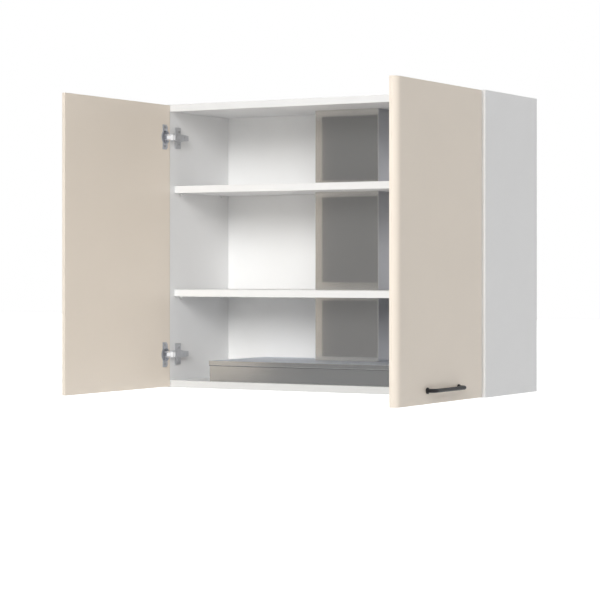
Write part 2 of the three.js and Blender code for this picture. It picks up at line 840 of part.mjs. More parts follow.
function greaseFilter(plan) {
  const x = [plan.x[0] - filterLedge + filterEdgeGap, plan.x[1] + filterLedge - filterEdgeGap];
  const y = [plan.y[0] - filterLedge + filterEdgeGap, plan.y[1] + filterLedge - filterEdgeGap];
  const bottom = trayRise + hoodSheet + seatGap;
  const top = bottom + filterThickness;
  const frame = box(x, y, [bottom, top]);
  const room = x[1] - x[0] - 2 * filterFrame;
  const slots = Math.max(1, Math.floor(room / filterSlotPitch));
  const first = (x[0] + x[1]) / 2 - (slots - 1) * filterSlotPitch / 2;
  const channels = [];
  for (let i = 0; i < slots; i += 1) {
    const middle = first + i * filterSlotPitch;
    const across = [middle - filterSlotWidth / 2, middle + filterSlotWidth / 2];
    const along = [y[0] + filterFrame, y[1] - filterFrame];
    channels.push(box(across, along, [bottom - cutOverrun, bottom + filterSlotDepth]));
    channels.push(box(across, along, [top - filterSlotDepth, top + cutOverrun]));
  }
  return cut(frame, ...channels);
}

function lamp(x) {
  const floor = trayRise + hoodSheet + seatGap;
  const lens = uprightCylinder(
    x, stripMiddle(), [trayRise, floor + lampHeight], lampRadius - lampRim, roundSegments);
  const flange = uprightCylinder(
    x, stripMiddle(), [floor, floor + lampFlange], lampRadius, roundSegments);
  return join(lens, flange);
}

function pushButton(x) {
  const top = trayRise + hoodSheet + seatGap + buttonHeight;
  const stem = box(
    span(x, buttonWidth / 2), span(stripMiddle(), buttonDepth / 2),
    [trayRise + hoodSheet - buttonProud, top]);
  const floor = trayRise + hoodSheet + seatGap;
  const collar = box(
    span(x, buttonWidth / 2 + buttonCollar), span(stripMiddle(), buttonDepth / 2 + buttonCollar),
    [floor, floor + buttonCollarThickness]);
  return join(stem, collar);
}

// The duct cover: a folded channel with its open side to the back panel
function ductCover() {
  const x = [hoodOffset - coverHalf, hoodOffset + coverHalf];
  const back = coverFront + coverDepth;
  const section = outline([
    [x[0], back],
    [x[0], coverFront],
    [x[1], coverFront],
    [x[1], back],
    [x[1] - coverReturn, back],
    [x[1] - coverReturn, back - coverSheet],
    [x[1] - coverSheet, back - coverSheet],
    [x[1] - coverSheet, coverFront + coverSheet],
    [x[0] + coverSheet, coverFront + coverSheet],
    [x[0] + coverSheet, back - coverSheet],
    [x[0] + coverReturn, back - coverSheet],
    [x[0] + coverReturn, back],
  ]);
  return prism(section, [hoodTop + seatGap, topUnderside - seatGap]);
}

// The fan housing stands on the hood and narrows to the outlet duct
function outletDuct() {
  const base = hoodTop + seatGap;
  const shoulder = base + fanHousingHeight;
  const neck = shoulder + ductConeHeight;
  const top = cabinetHeight - ductTopInset;
  const tube = turned([
    [fanHousingRadius, base],
    [fanHousingRadius, shoulder],
    [ductRadius, neck],
    [ductRadius, top],
    [ductRadius - ductWall, top],
    [ductRadius - ductWall, neck],
    [fanHousingRadius - ductWall, shoulder],
    [fanHousingRadius - ductWall, base],
    [fanHousingRadius, base],
  ], fineSegments);
  return tube.translate([hoodOffset, ductCentreY, 0]);
}

function fanMotor() {
  const bottom = hoodTop + motorAboveLid;
  const top = bottom + motorHeight;
  const body = turned([
    [0, bottom],
    [motorRadius, bottom],
    [motorRadius, top],
    [motorRadius / 2, top + motorDomeHeight],
    [0, top + motorDomeHeight],
  ], roundSegments);
  const shaft = uprightCylinder(
    0, 0, [bottom - motorShaftLength, bottom + cutOverrun], motorShaftRadius, smallSegments);
  const flatsRadius = (fanHousingRadius - ductWall) * Math.cos(Math.PI / fineSegments);
  const reach = flatsRadius - seatGap;
  const arms = [];
  for (let i = 0; i < motorArms; i += 1) {
    const geometry = new THREE.BoxGeometry(reach - motorRadius / 2, motorArmThickness, motorArmHeight);
    geometry.translate((reach + motorRadius / 2) / 2, 0, top - motorArmHeight);
    geometry.rotateZ(i * 2 * Math.PI / motorArms);
    arms.push(solidOf(geometry));
  }
  return join(body, shaft, ...arms).translate([hoodOffset, ductCentreY, 0]);
}

// One blade: a curved section along X, twisted from hub to tip
function impellerBlade() {
  const root = impellerHubRadius - impellerBladeBedding;
  const length = impellerRadius - root;
  const half = impellerBladeChord / 2;
  const section = new THREE.Shape();
  section.moveTo(-half, -impellerBladeThickness / 2);
  section.quadraticCurveTo(0, impellerBladeThickness, half, -impellerBladeThickness / 2);
  section.lineTo(half, impellerBladeThickness / 2);
  section.quadraticCurveTo(0, 2 * impellerBladeThickness, -half, impellerBladeThickness / 2);
  section.closePath();
  const geometry = new THREE.ExtrudeGeometry(section, {
    depth: length, steps: bladeSteps, bevelEnabled: false, curveSegments: bladeSectionSegments });
  const position = geometry.attributes.position;
  for (let i = 0; i < position.count; i += 1) {
    const along = position.getZ(i) / length;
    const pitch = THREE.MathUtils.degToRad(
      THREE.MathUtils.lerp(impellerRootPitchDegrees, impellerTipPitchDegrees, along));
    const u = position.getX(i);
    const v = position.getY(i);
    position.setXYZ(i, root + position.getZ(i),
      u * Math.cos(pitch) - v * Math.sin(pitch), u * Math.sin(pitch) + v * Math.cos(pitch));
  }
  return geometry;
}

function fanImpeller() {
  const top = hoodTop + motorAboveLid - runningGap;
  const bottom = top - impellerHubHeight;
  const bore = motorShaftRadius + runningGap;
  const hub = turned([
    [bore, bottom],
    [impellerHubRadius - impellerHubWall, bottom],
    [impellerHubRadius, bottom + impellerHubWall],
    [impellerHubRadius, top],
    [impellerHubRadius - impellerHubWall, top],
    [impellerHubRadius - impellerHubWall, bottom + impellerHubWall],
    [bore + impellerHubWall, bottom + impellerHubWall],
    [bore + impellerHubWall, top - impellerHubWall],
    [bore, top - impellerHubWall],
    [bore, bottom],
  ], roundSegments);
  const blades = [];
  for (let i = 0; i < impellerBlades; i += 1) {
    const geometry = impellerBlade();
    geometry.rotateZ(i * 2 * Math.PI / impellerBlades);
    geometry.translate(0, 0, (top + bottom) / 2);
    blades.push(solidOf(geometry));
  }
  return join(hub, ...blades).translate([hoodOffset, ductCentreY, 0]);
}

// Assembly
for (const { side, onRight } of sides) {
  addPiece(`${side}_side_panel`, sidePanel(), finishes.carcass, onRight);
  addPiece(`${side}_hanger`, hanger(), finishes.steel, onRight);
  addPiece(`${side}_door`, door(), finishes.door, onRight);
  addPiece(`${side}_handle`, handle(), finishes.black, onRight);
  for (const place of shelfPinPlaces()) {
    addPiece(`${place.level}_shelf_pin_${side}_${place.spot}`, shelfPin(place), finishes.pale, onRight);
  }
  for (const [spot, fromEdge] of handlePlaces()) {
    addPiece(`${side}_handle_screw_${spot}`, handleScrew(fromEdge), finishes.door, onRight);
  }
  for (const [level, height] of Object.entries(hingeHeights)) {
    addPiece(`${side}_${level}_hinge_plate`, mountingPlate(height), finishes.nickel, onRight);
    addPiece(`${side}_${level}_hinge_arm`, hingeArm(height), finishes.nickel, onRight);
    addPiece(`${side}_${level}_hinge_cup`, hingeCup(height), finishes.nickel, onRight);
    addPiece(`${side}_${level}_rear_link`, rearLink(height), finishes.nickel, onRight);
    addPiece(`${side}_${level}_front_link`, frontLink(height), finishes.nickel, onRight);
  }
}
addPiece('top_panel', topPanel(), finishes.carcass);
addPiece('bottom_panel', bottomPanel(), finishes.carcass);
addPiece('back_panel', backPanel(), finishes.carcass);
for (const [level, height] of Object.entries(shelfHeights)) {
  addPiece(`${level}_shelf`, shelf(height), finishes.carcass);
}
addPiece('hood_body', hoodBody(), finishes.steel);
addPiece('hood_top_cover', hoodTopCover(), finishes.steel);
addPiece('duct_cover', ductCover(), finishes.steel);
addPiece('outlet_duct', outletDuct(), finishes.pale);
addPiece('fan_motor', fanMotor(), finishes.steel);
addPiece('fan_impeller', fanImpeller(), finishes.plastic);
for (const [side, plan] of filterOpenings()) {
  addPiece(`${side}_grease_filter`, greaseFilter(plan), finishes.aluminium);
}
for (const [side, x] of lampPlaces()) {
  addPiece(`${side}_lamp`, lamp(x), finishes.pale);
}
for (const [name, x] of buttonPlaces()) {
  addPiece(`${name}_button`, pushButton(x), finishes.plastic);
}

export default group;
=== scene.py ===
"""Kitchen wall cabinet with two open doors and a fitted cooker hood, dressed for rendering.

Every length is in metres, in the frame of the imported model: X to the right, Y into the
wall, Z up, with the origin on the wall, midway, level with the underside.
"""

from __future__ import annotations

import json
import logging
import math
from collections.abc import Callable, Iterable, Sequence
from dataclasses import dataclass, field, replace
from enum import Enum

import bmesh
import bpy
import numpy as np
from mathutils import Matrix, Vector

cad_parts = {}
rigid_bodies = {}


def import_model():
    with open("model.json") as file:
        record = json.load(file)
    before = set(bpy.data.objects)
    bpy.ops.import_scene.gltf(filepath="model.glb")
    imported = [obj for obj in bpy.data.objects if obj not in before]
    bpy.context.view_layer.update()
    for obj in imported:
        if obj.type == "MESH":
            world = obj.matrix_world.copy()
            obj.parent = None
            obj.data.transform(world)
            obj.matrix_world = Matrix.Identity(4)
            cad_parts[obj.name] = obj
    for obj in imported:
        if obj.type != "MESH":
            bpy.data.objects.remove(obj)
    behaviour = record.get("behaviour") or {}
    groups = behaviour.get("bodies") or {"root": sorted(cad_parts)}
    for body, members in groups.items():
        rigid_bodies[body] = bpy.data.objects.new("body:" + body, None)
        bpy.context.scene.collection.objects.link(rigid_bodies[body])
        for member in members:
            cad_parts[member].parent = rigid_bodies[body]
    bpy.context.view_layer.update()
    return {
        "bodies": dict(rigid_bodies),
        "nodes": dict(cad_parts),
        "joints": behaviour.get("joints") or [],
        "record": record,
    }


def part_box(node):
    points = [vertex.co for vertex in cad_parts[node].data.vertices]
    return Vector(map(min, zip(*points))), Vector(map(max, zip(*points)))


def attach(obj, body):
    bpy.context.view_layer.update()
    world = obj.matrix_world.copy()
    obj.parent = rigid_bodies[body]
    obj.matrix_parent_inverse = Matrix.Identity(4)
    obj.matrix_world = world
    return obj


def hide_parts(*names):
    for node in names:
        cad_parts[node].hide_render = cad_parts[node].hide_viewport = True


LOG = logging.getLogger("wall_cabinet")
MM = 0.001
TURN = 2 * math.pi
# The cosine from which a face counts as square to an axis, and the looser one for a
# plate whose many openings leave slivers.
SQUARE = 0.99995
NEARLY_SQUARE = 0.995
# The part of its range that a noise mostly keeps to.
NOISE_SPAN = (0.3, 0.7)

Object = bpy.types.Object
Socket = bpy.types.NodeSocket


class Axis(Enum):
    """The axis that a turned shape stands on."""

    X = 0
    Y = 1
    Z = 2


class Option(Enum):
    """An option whose name the nodes spell in small letters."""

    @property
    def word(self) -> str:
        """The option's name as the nodes spell it."""
        return self.name.lower()


class Side(Option):
    """A side of the cabinet, with the sign of its X."""

    LEFT = -1
    RIGHT = 1


class Level(Option):
    """A hinge level, with the height of its middle."""

    LOWER = 0.084
    UPPER = 0.636


# Colour and nodes


def linear(code: str) -> tuple[float, float, float, float]:
    """Turns an sRGB hex colour to linear RGBA.

    Args:
        code: Six hex digits after a hash sign.

    Returns:
        Linear red, green and blue, and an alpha of 1.
    """
    parts = [int(code[i : i + 2], 16) / 255 for i in (1, 3, 5)]
    flat = [c / 12.92 if c <= 0.04045 else ((c + 0.055) / 1.055) ** 2.4 for c in parts]
    return (*flat, 1.0)


def add_node(
    tree: bpy.types.NodeTree,
    kind: str,
    values: dict | None = None,
    links: dict | None = None,
    **settings: object,
) -> bpy.types.Node:
    """Adds one node with its settings, socket values and incoming links.

    Args:
        tree: The node tree that gets the node.
        kind: The node's type name.
        values: Socket name or number to value.
        links: Socket name or number to the output socket that feeds it.
        **settings: Attributes of the node itself.

    Returns:
        The new node.
    """
    node = tree.nodes.new(kind)
    for key, value in settings.items():
        setattr(node, key, value)
    for key, value in (values or {}).items():
        node.inputs[key].default_value = value
    for key, socket in (links or {}).items():
        tree.links.new(socket, node.inputs[key])
    return node


@dataclass
class Painter:
    """One material's nodes, with the steps that the finishes share.

    Sizes are in metres and place holds Object coordinates.
    """

    tree: bpy.types.NodeTree
    shader: bpy.types.Node
    place: Socket

    def noise(
        self, size: float, detail: float = 2.0, rough: float = 0.5, at: Socket | None = None
    ) -> Socket:
        """Gives a noise with patches of about one size.

        Args:
            size: The size of one patch.
            detail: How many finer layers lie on it.
            rough: How strong the finer layers are.
            at: The place to read, or Object coordinates if it isn't given.

        Returns:
            The noise's value.
        """
        values = {"Scale": 1 / size, "Detail": detail, "Roughness": rough}
        links = {"Vector": self.place if at is None else at}
        return add_node(self.tree, "ShaderNodeTexNoise", values, links).outputs["Fac"]

    def wave(self, pitch: float, way: str, at: Socket, waver: float = 0.0) -> Socket:
        """Gives bands of one pitch that follow each other along one axis.

        Args:
            pitch: The width of one band.
            way: The axis that the bands follow each other along.
            at: The place to read.
            waver: How far the bands stray.

        Returns:
            The bands' value, from 0 to 1.
        """
        values = {"Scale": TURN / pitch / 20, "Distortion": waver}
        kind, links = "ShaderNodeTexWave", {"Vector": at}
        return add_node(self.tree, kind, values, links, bands_direction=way).outputs["Fac"]

    def ranged(
        self, value: Socket, low: float, high: float, start: float = 0.0, end: float = 1.0
    ) -> Socket:
        """Maps a value that runs from start to end to one from low to high.

        Args:
            value: The value to map.
            low: What it becomes at start.
            high: What it becomes at end.
            start: One end of the value's own range.
            end: The other end of the value's own range.

        Returns:
            The mapped value.
        """
        values = {"From Min": start, "From Max": end, "To Min": low, "To Max": high}
        node = add_node(self.tree, "ShaderNodeMapRange", values, {"Value": value})
        return node.outputs["Result"]

    def combined(self, first: Socket, second: Socket, operation: str) -> Socket:
        """Joins two values by one operation."""
        links = {0: first, 1: second}
        return add_node(self.tree, "ShaderNodeMath", {}, links, operation=operation).outputs[0]

    def mixed(self, kind: str, values: dict, links: dict) -> Socket:
        """Mixes two colours or two numbers by a factor."""
        node = add_node(self.tree, "ShaderNodeMix", values, links, data_type=kind)
        return node.outputs["Result"]

    def feed(self, name: str, source: Socket) -> None:
        """Feeds one input of the shader."""
        self.tree.links.new(source, self.shader.inputs[name])

    def shade(self, colour: str, value: Socket) -> None:
        """Feeds the base colour with a colour, its value scaled.

        Args:
            colour: The sRGB hex colour.
            value: The factor on the colour's value.
        """
        values = {"Color": linear(colour)}
        tone = add_node(self.tree, "ShaderNodeHueSaturation", values, {"Value": value})
        self.feed("Base Color", tone.outputs["Color"])

    def mottle(self, colour: str, spread: float, size: float) -> None:
        """Gives the base colour a slow variation in value, as board and sheet have.

        Args:
            colour: The sRGB hex colour in the middle.
            spread: The change in value, up and down, as a share.
            size: The size of one patch.
        """
        patches = self.noise(size, detail=3.0)
        self.shade(colour, self.ranged(patches, 1 - spread, 1 + spread, *NOISE_SPAN))

    def gloss(self, value: Socket, middle: float, down: float, up: float | None = None) -> None:
        """Varies the roughness about a middle, down and up alike if up isn't given."""
        high = middle + (down if up is None else up)
        self.feed("Roughness", self.ranged(value, middle - down, high))

    def relief(self, height: Socket, depth: float) -> None:
        """Feeds the normal with a height from 0 to 1 as bump of one depth.

        Args:
            height: The height, from 0 to 1.
            depth: The depth between 0 and 1.
        """
        values = {"Strength": 1.0, "Distance": depth}
        bump = add_node(self.tree, "ShaderNodeBump", values, {"Height": height})
        self.feed("Normal", bump.outputs["Normal"])


@dataclass(frozen=True)
class Finish:
    """A real surface: its name, colour and gloss. Subclasses add its pattern."""

    name: str
    colour: str
    roughness: float = 0.4
    metallic: float = 0.0

    def material(self) -> bpy.types.Material:
        """Makes the material once and gives it back on later calls.

        Returns:
            The material.
        """
        known = bpy.data.materials.get(self.name)
        if known is not None:
            return known
        made = bpy.data.materials.new(self.name)
        made.use_nodes = True
        made.diffuse_color = linear(self.colour)
        tree = made.node_tree
        shader = tree.nodes["Principled BSDF"]
        shader.inputs["Base Color"].default_value = linear(self.colour)
        shader.inputs["Roughness"].default_value = self.roughness
        shader.inputs["Metallic"].default_value = self.metallic
        place = add_node(tree, "ShaderNodeTexCoord").outputs["Object"]
        self.pattern(Painter(tree, shader, place))
        return made

    def pattern(self, paint: Painter) -> None:
        """Adds the surface's pattern to the shader."""
        raise NotImplementedError


@dataclass(frozen=True)
class Melamine(Finish):
    """Melamine-faced chipboard: resin-soaked paper pressed on a board.

    The eye gets an even, satin white with a very fine pressed grain of about half a
    millimetre, drawn at 1.2 mm so that it shows.
    """

    grain: float = 1.2 * MM

    def pattern(self, paint: Painter) -> None:
        """Adds the slow tone of the board and its pressed grain.

        Args:
            paint: The material's nodes.
        """
        paint.mottle(self.colour, spread=0.008, size=120 * MM)
        grain = paint.noise(self.grain, rough=0.6)
        paint.gloss(grain, self.roughness, down=0.05)
        paint.relief(grain, depth=0.02 * MM)


@dataclass(frozen=True)
class Laminate(Finish):
    """Postformed door laminate: a satin sheet bent over the board's long edges.

    The eye gets a warm cream with a soft sheen along the rounded edges. Its orange-peel
    ripple of about 2 mm is drawn at 4 mm, and a fine matt grain lies on it.
    """

    ripple: float = 4 * MM
    grain: float = 0.9 * MM

    def pattern(self, paint: Painter) -> None:
        """Adds the sheet's slow tone, its ripple and its matt grain.

        Args:
            paint: The material's nodes.
        """
        paint.mottle(self.colour, spread=0.01, size=180 * MM)
        ripple, grain = paint.noise(self.ripple), paint.noise(self.grain)
        paint.gloss(grain, self.roughness, down=0.06)
        both = paint.mixed("FLOAT", {"Factor": 0.3}, {"A": ripple, "B": grain})
        paint.relief(both, depth=0.03 * MM)


@dataclass(frozen=True)
class Chipboard(Finish):
    """Raw chipboard edge: pressed wood flakes, light brown with darker chips."""

    flake: float = 2.2 * MM
    dark: str = "#8f6c45"

    def pattern(self, paint: Painter) -> None:
        """Adds flakes of mixed tone with pits between them.

        Args:
            paint: The material's nodes.
        """
        values = {"Scale": 1 / self.flake, "Randomness": 1.0}
        flakes = add_node(paint.tree, "ShaderNodeTexVoronoi", values, {"Vector": paint.place})
        ends = {"A": linear(self.colour), "B": linear(self.dark)}
        paint.feed("Base Color", paint.mixed("RGBA", ends, {"Factor": flakes.outputs["Color"]}))
        paint.relief(flakes.outputs["Distance"], depth=0.15 * MM)


@dataclass(frozen=True)
class Hardboard(Finish):
    """Raw back of hardboard: brown wood fibre with the print of the press mesh."""

    mesh: float = 1.6 * MM

    def pattern(self, paint: Painter) -> None:
        """Adds fibre tone and the woven print, drawn as crossed waves.

        Args:
            paint: The material's nodes.
        """
        paint.mottle(self.colour, spread=0.12, size=12 * MM)
        across, upward = (paint.wave(self.mesh, way, paint.place, waver=0.4) for way in ("X", "Z"))
        paint.relief(paint.combined(across, upward, "MAXIMUM"), depth=0.12 * MM)


@dataclass(frozen=True)
class BrushedSteel(Finish):
    """Brushed stainless steel: long fine scratches along one axis.

    The scratches are about 0.1 mm wide and are drawn at about 0.6 mm, so that the
    soft streaks in the reflections show.
    """

    along: Axis = Axis.X
    scratch: float = 0.6 * MM
    streak: float = 60 * MM
    gloss_change: float = 0.002
    tone_change: float = 0.006

    def pattern(self, paint: Painter) -> None:
        """Stretches two noises along the brushing, the finer for gloss, the other for tone.

        Args:
            paint: The material's nodes.
        """
        lines = []
        for wider, longer in ((1, 1), (12, 6)):
            scale = [1 / (wider * self.scratch)] * 3
            scale[self.along.value] = 1 / (longer * self.streak)
            links = {"Vector": paint.place}
            stretched = add_node(paint.tree, "ShaderNodeMapping", {"Scale": scale}, links)
            lines.append(paint.noise(1.0, 3.0, 0.6, stretched.outputs["Vector"]))
        gloss, tone = (
            paint.ranged(line, middle - change, middle + change, *NOISE_SPAN)
            for line, middle, change in (
                (lines[0], self.roughness, self.gloss_change),
                (lines[1], 1.0, self.tone_change),
            )
        )
        paint.feed("Roughness", gloss)
        paint.shade(self.colour, tone)


@dataclass(frozen=True)
class FramedSteel(BrushedSteel):
    """Brushed steel that is bright in panes and dulled in the margins round them.

    The eye gets a clear mirror in each bay, framed by a rougher band whose paler colour is a
    painted reflection.
    """

    column: tuple[float, float] = (0.0, 1.0)
    rows: tuple[tuple[float, float], ...] = ((0.0, 1.0),)
    fade: float = 2.5 * MM
    # The margins' colour, a painted reflection of the bright door and boards beside the cover.
    margin_colour: str = "#e3e1dd"
    margin_roughness: float = 0.22

    def pattern(self, paint: Painter) -> None:
        """Brushes the steel, then mixes in the margins' tone and gloss outside the panes.

        Args:
            paint: The material's nodes.
        """
        super().pattern(paint)
        axes = add_node(paint.tree, "ShaderNodeSeparateXYZ", {}, {"Vector": paint.place})
        panes, *others = (self.window(paint, axes.outputs["Z"], row) for row in self.rows)
        for pane in others:
            panes = paint.combined(panes, pane, "ADD")
        across = self.window(paint, axes.outputs["X"], self.column)
        inside = paint.combined(across, panes, "MULTIPLY")
        for name, margin, kind in (
            ("Base Color", linear(self.margin_colour), "RGBA"),
            ("Roughness", self.margin_roughness, "FLOAT"),
        ):
            links = {"Factor": inside, "B": paint.shader.inputs[name].links[0].from_socket}
            paint.feed(name, paint.mixed(kind, {"A": margin}, links))

    def window(self, paint: Painter, value: Socket, span: tuple[float, float]) -> Socket:
        """Gives 1 inside a span and 0 outside it, with a short fade at both ends.

        Args:
            paint: The material's nodes.
            value: The coordinate that the span lies along.
            span: The span's two ends.

        Returns:
            The window's value.
        """
        first, last = (
            paint.ranged(value, 0.0, 1.0, edge - way * self.fade, edge + way * self.fade)
            for edge, way in zip(span, (1, -1))
        )
        return paint.combined(first, last, "MULTIPLY")


@dataclass(frozen=True)
class PlatedSteel(Finish):
    """Pressed steel with a nickel or zinc plate: smooth, with faint cloudy gloss."""

    cloud: float = 7 * MM

    def pattern(self, paint: Painter) -> None:
        """Adds cloudy gloss and a shallow ripple from the press.

        Args:
            paint: The material's nodes.
        """
        paint.mottle(self.colour, spread=0.04, size=self.cloud)
        cloud = paint.noise(self.cloud, detail=4.0)
        paint.gloss(cloud, self.roughness, down=0.08, up=0.1)
        paint.relief(cloud, depth=0.02 * MM)


@dataclass(frozen=True)
class PowderCoat(Finish):
    """Satin powder coat on steel: near black with a fine pebbled skin.

    The pebbles are about 0.3 mm and are drawn at 0.8 mm.
    """

    pebble: float = 0.8 * MM
    gloss_level: float = 0.25

    def pattern(self, paint: Painter) -> None:
        """Adds the pebbled skin and its slight change in tone.

        Args:
            paint: The material's nodes.
        """
        paint.shader.inputs["Specular IOR Level"].default_value = self.gloss_level
        paint.mottle(self.colour, spread=0.12, size=10 * MM)
        paint.relief(paint.noise(self.pebble), depth=0.05 * MM)


@dataclass(frozen=True)
class MouldedPlastic(Finish):
    """Moulded plastic with a fine spark-eroded texture of about 0.4 mm."""

    texture: float = 0.8 * MM

    def pattern(self, paint: Painter) -> None:
        """Adds the mould's texture and a slow flow mark.

        Args:
            paint: The material's nodes.
        """
        paint.mottle(self.colour, spread=0.03, size=30 * MM)
        skin = paint.noise(self.texture, detail=3.0)
        paint.gloss(skin, self.roughness, down=0.06)
        paint.relief(skin, depth=0.03 * MM)


@dataclass(frozen=True)
class ExpandedMesh(Finish):
    """Expanded aluminium: bright strands round diamond openings whose dark colour is a painted
    shade, for the hood's dim inside seen through them.

    The eye gets the grey shimmer of a grease filter. Openings are 5 mm by about 9 mm.
    """

    opening: float = 5 * MM
    lean: float = 30.0
    # The openings' colour, a painted shade.
    dark: str = "#6b6d70"

    def pattern(self, paint: Painter) -> None:
        """Crosses two waves that lean both ways, for strands in tone and height.

        Args:
            paint: The material's nodes.
        """
        waves = []
        for way in (-1, 1):
            values = {"Rotation": (0, 0, way * math.radians(self.lean))}
            leaned = add_node(paint.tree, "ShaderNodeMapping", values, {"Vector": paint.place})
            waves.append(paint.wave(self.opening, "Y", leaned.outputs["Vector"]))
        strands = paint.combined(*waves, "MAXIMUM")
        ends = {"A": linear(self.dark), "B": linear(self.colour)}
        paint.feed("Base Color", paint.mixed("RGBA", ends, {"Factor": strands}))
        paint.relief(strands, depth=0.4 * MM)


@dataclass(frozen=True)
class FrostedGlass(Finish):
    """Frosted glass of a lamp: milky, half clear, with a fine etched skin."""

    etching: float = 0.7 * MM
    clearness: float = 0.55
    refraction: float = 1.5

    def pattern(self, paint: Painter) -> None:
        """Lets light through and adds the etched skin.

        Args:
            paint: The material's nodes.
        """
        paint.shader.inputs["Transmission Weight"].default_value = self.clearness
        paint.shader.inputs["IOR"].default_value = self.refraction
        paint.relief(paint.noise(self.etching), depth=0.03 * MM)


# Boards and panels: satin white, the bottom board's front edge darker as a painted shade, and raw
# where nobody looks.
CARCASS = Melamine("white_melamine_board", "#e9e9e9", 0.42)
EDGE_BAND = Melamine("white_abs_edge_band", "#e8e8e7", 0.34)
EDGE_BAND_PAINTED_SHADE = Melamine("greyed_abs_edge_band", "#d6d6d4", 0.34)
BACK_WHITE = Melamine("white_lacquered_hardboard", "#ededec", 0.5)
BACK_RAW = Hardboard("raw_hardboard_back", "#7d5f43", 0.75)
RAW_EDGE = Chipboard("raw_chipboard_edge", "#b59468", 0.85)
# Doors and handles: warm cream with a sheen, and near black without one.
DOOR = Laminate("cream_postformed_laminate", "#e8ddcf", 0.36)
HANDLE_BLACK = PowderCoat("black_powder_coated_steel", "#1d1d1f", 0.45, 0.0)
# Fittings: cool grey plate; the links nearly white, a painted highlight; the cup paler than the
# plate, partly its own tone and partly painted light in its hollow.
NICKEL = PlatedSteel("nickel_plated_steel", "#cccdd0", 0.38, 0.8)
# Paler and less metallic than the plate: partly the cup's own tone, partly painted light that
# lifts the shade in its hollow.
CUP_NICKEL_PAINTED_LIGHT = PlatedSteel("nickel_plated_cup", "#c2c4ca", 0.42, 0.6)
# Near white: a painted highlight.
LINK_PAINTED_HIGHLIGHT = PlatedSteel("bright_pressed_link", "#f2f2f3", 0.5, 0.3)
ZINC = PlatedSteel("zinc_plated_steel", "#a5a8ab", 0.36, 1.0)
SCREW_ZINC = PlatedSteel("zinc_plated_screw", "#b4b5b6", 0.28, 1.0, 2 * MM)
# Hood: steel that mirrors the room as soft bands. Its top is matt, with a bluish tone that is a
# painted reflection;
# the duct cover's flanks are darker, a painted shade, and its pale margins a painted reflection.
# The filters shimmer, their openings a painted shade.
HOOD_STEEL = BrushedSteel("brushed_stainless_steel_along", "#cbcccc", 0.27, 0.88)
# Matt sheet whose bluish tone is a painted reflection; the lamp rims share it.
MATT_STEEL_PAINTED_TINT = PlatedSteel("matt_rolled_stainless_steel", "#dee3eb", 0.5, 0.85)
COVER_STEEL = FramedSteel("brushed_stainless_steel_upright", "#d8d7d5", 0.1, 0.88, Axis.Z)
# The duct cover's flanks: darker than the front, a painted shade.
FLANK_STEEL_PAINTED_SHADE = BrushedSteel("brushed_stainless_steel_flank", "#abacb2", 0.16, 0.9, Axis.Z)
FILTER_FRAME = PlatedSteel("rolled_aluminium", "#c6c8ca", 0.42, 0.85)
FILTER_METAL = ExpandedMesh("expanded_aluminium_mesh", "#c9cbcd", 0.38, 0.8)
# Small parts: a dark strip that is a painted shadow under the hood's lid, plain plastics and milky
# glass.
# A painted shadow, not a part of the hood.
SHADOW_STRIP_DARK = MouldedPlastic("dark_seal_rubber", "#4b4b4d", 0.6)
MARK_WHITE = MouldedPlastic("white_printed_mark", "#e6e6e4", 0.5)
DUCT_PLASTIC = MouldedPlastic("white_polypropylene_duct", "#dddddb", 0.5)
DARK_PLASTIC = MouldedPlastic("black_abs_moulding", "#303033", 0.45)
PIN_PLASTIC = MouldedPlastic("white_abs_shelf_pin", "#e9e9e7", 0.4)
LAMP_GLASS = FrostedGlass("frosted_lamp_glass", "#eef0ee", 0.45)


# Shapes


def placed(name: str, data: bpy.types.ID) -> Object:
    """Makes an object of some data in the scene.

    Args:
        name: The object's name.
        data: Its mesh, lamp or camera.

    Returns:
        The object, at the origin.
    """
    made = bpy.data.objects.new(name, data)
    bpy.context.scene.collection.objects.link(made)
    return made


def read(items: bpy.types.bpy_prop_collection, name: str) -> np.ndarray:
    """Reads one vector of each of a mesh's points, corners or faces, as rows of three.

    Args:
        items: The mesh's points, corners or faces.
        name: The vector's name.

    Returns:
        The vectors, n by 3.
    """
    values = np.empty(len(items) * 3)
    items.foreach_get(name, values)
    return values.reshape(-1, 3)


def build(name: str, vertices: np.ndarray, faces: Sequence, sharp: float = 35) -> Object:
    """Makes an object from vertices and faces, closed, outward and smooth.

    Args:
        name: The object's name.
        vertices: An array of points, n by 3, in metres.
        faces: Lists of vertex numbers.
        sharp: The angle in degrees from which an edge stays sharp.

    Returns:
        The object, at the origin.
    """
    mesh = bpy.data.meshes.new(name)
    mesh.from_pydata(vertices.tolist(), [], [list(map(int, face)) for face in faces])
    piece = placed(name, mesh)
    tidy(piece, sharp)
    return piece


def tidy(piece: Object, sharp: float, weld: float = 1e-6) -> None:
    """Merges doubles, turns faces outward and sets smooth shading up to an angle.

    Args:
        piece: The object to finish.
        sharp: The angle in degrees from which an edge stays sharp.
        weld: Points nearer than this become one.
    """
    work = bmesh.new()
    work.from_mesh(piece.data)
    bmesh.ops.remove_doubles(work, verts=work.verts, dist=weld)
    bmesh.ops.recalc_face_normals(work, faces=work.faces)
    work.to_mesh(piece.data)
    work.free()
    piece.data.shade_smooth()
    piece.data.set_sharp_from_angle(angle=math.radians(sharp))


def ring_faces(rows: int, columns: int) -> np.ndarray:
    """Numbers the quads of a grid of rows whose columns close in a ring.

    Args:
        rows: How many rows of points.
        columns: How many points in a row.

    Returns:
        The quads, as rows of four vertex numbers.
    """
    down, across = np.meshgrid(np.arange(rows - 1), np.arange(columns), indexing="ij")
    after = (across + 1) % columns
    quads = [down * columns + across, down * columns + after]
    quads += [(down + 1) * columns + after, (down + 1) * columns + across]
    return np.stack(quads, -1).reshape(-1, 4)


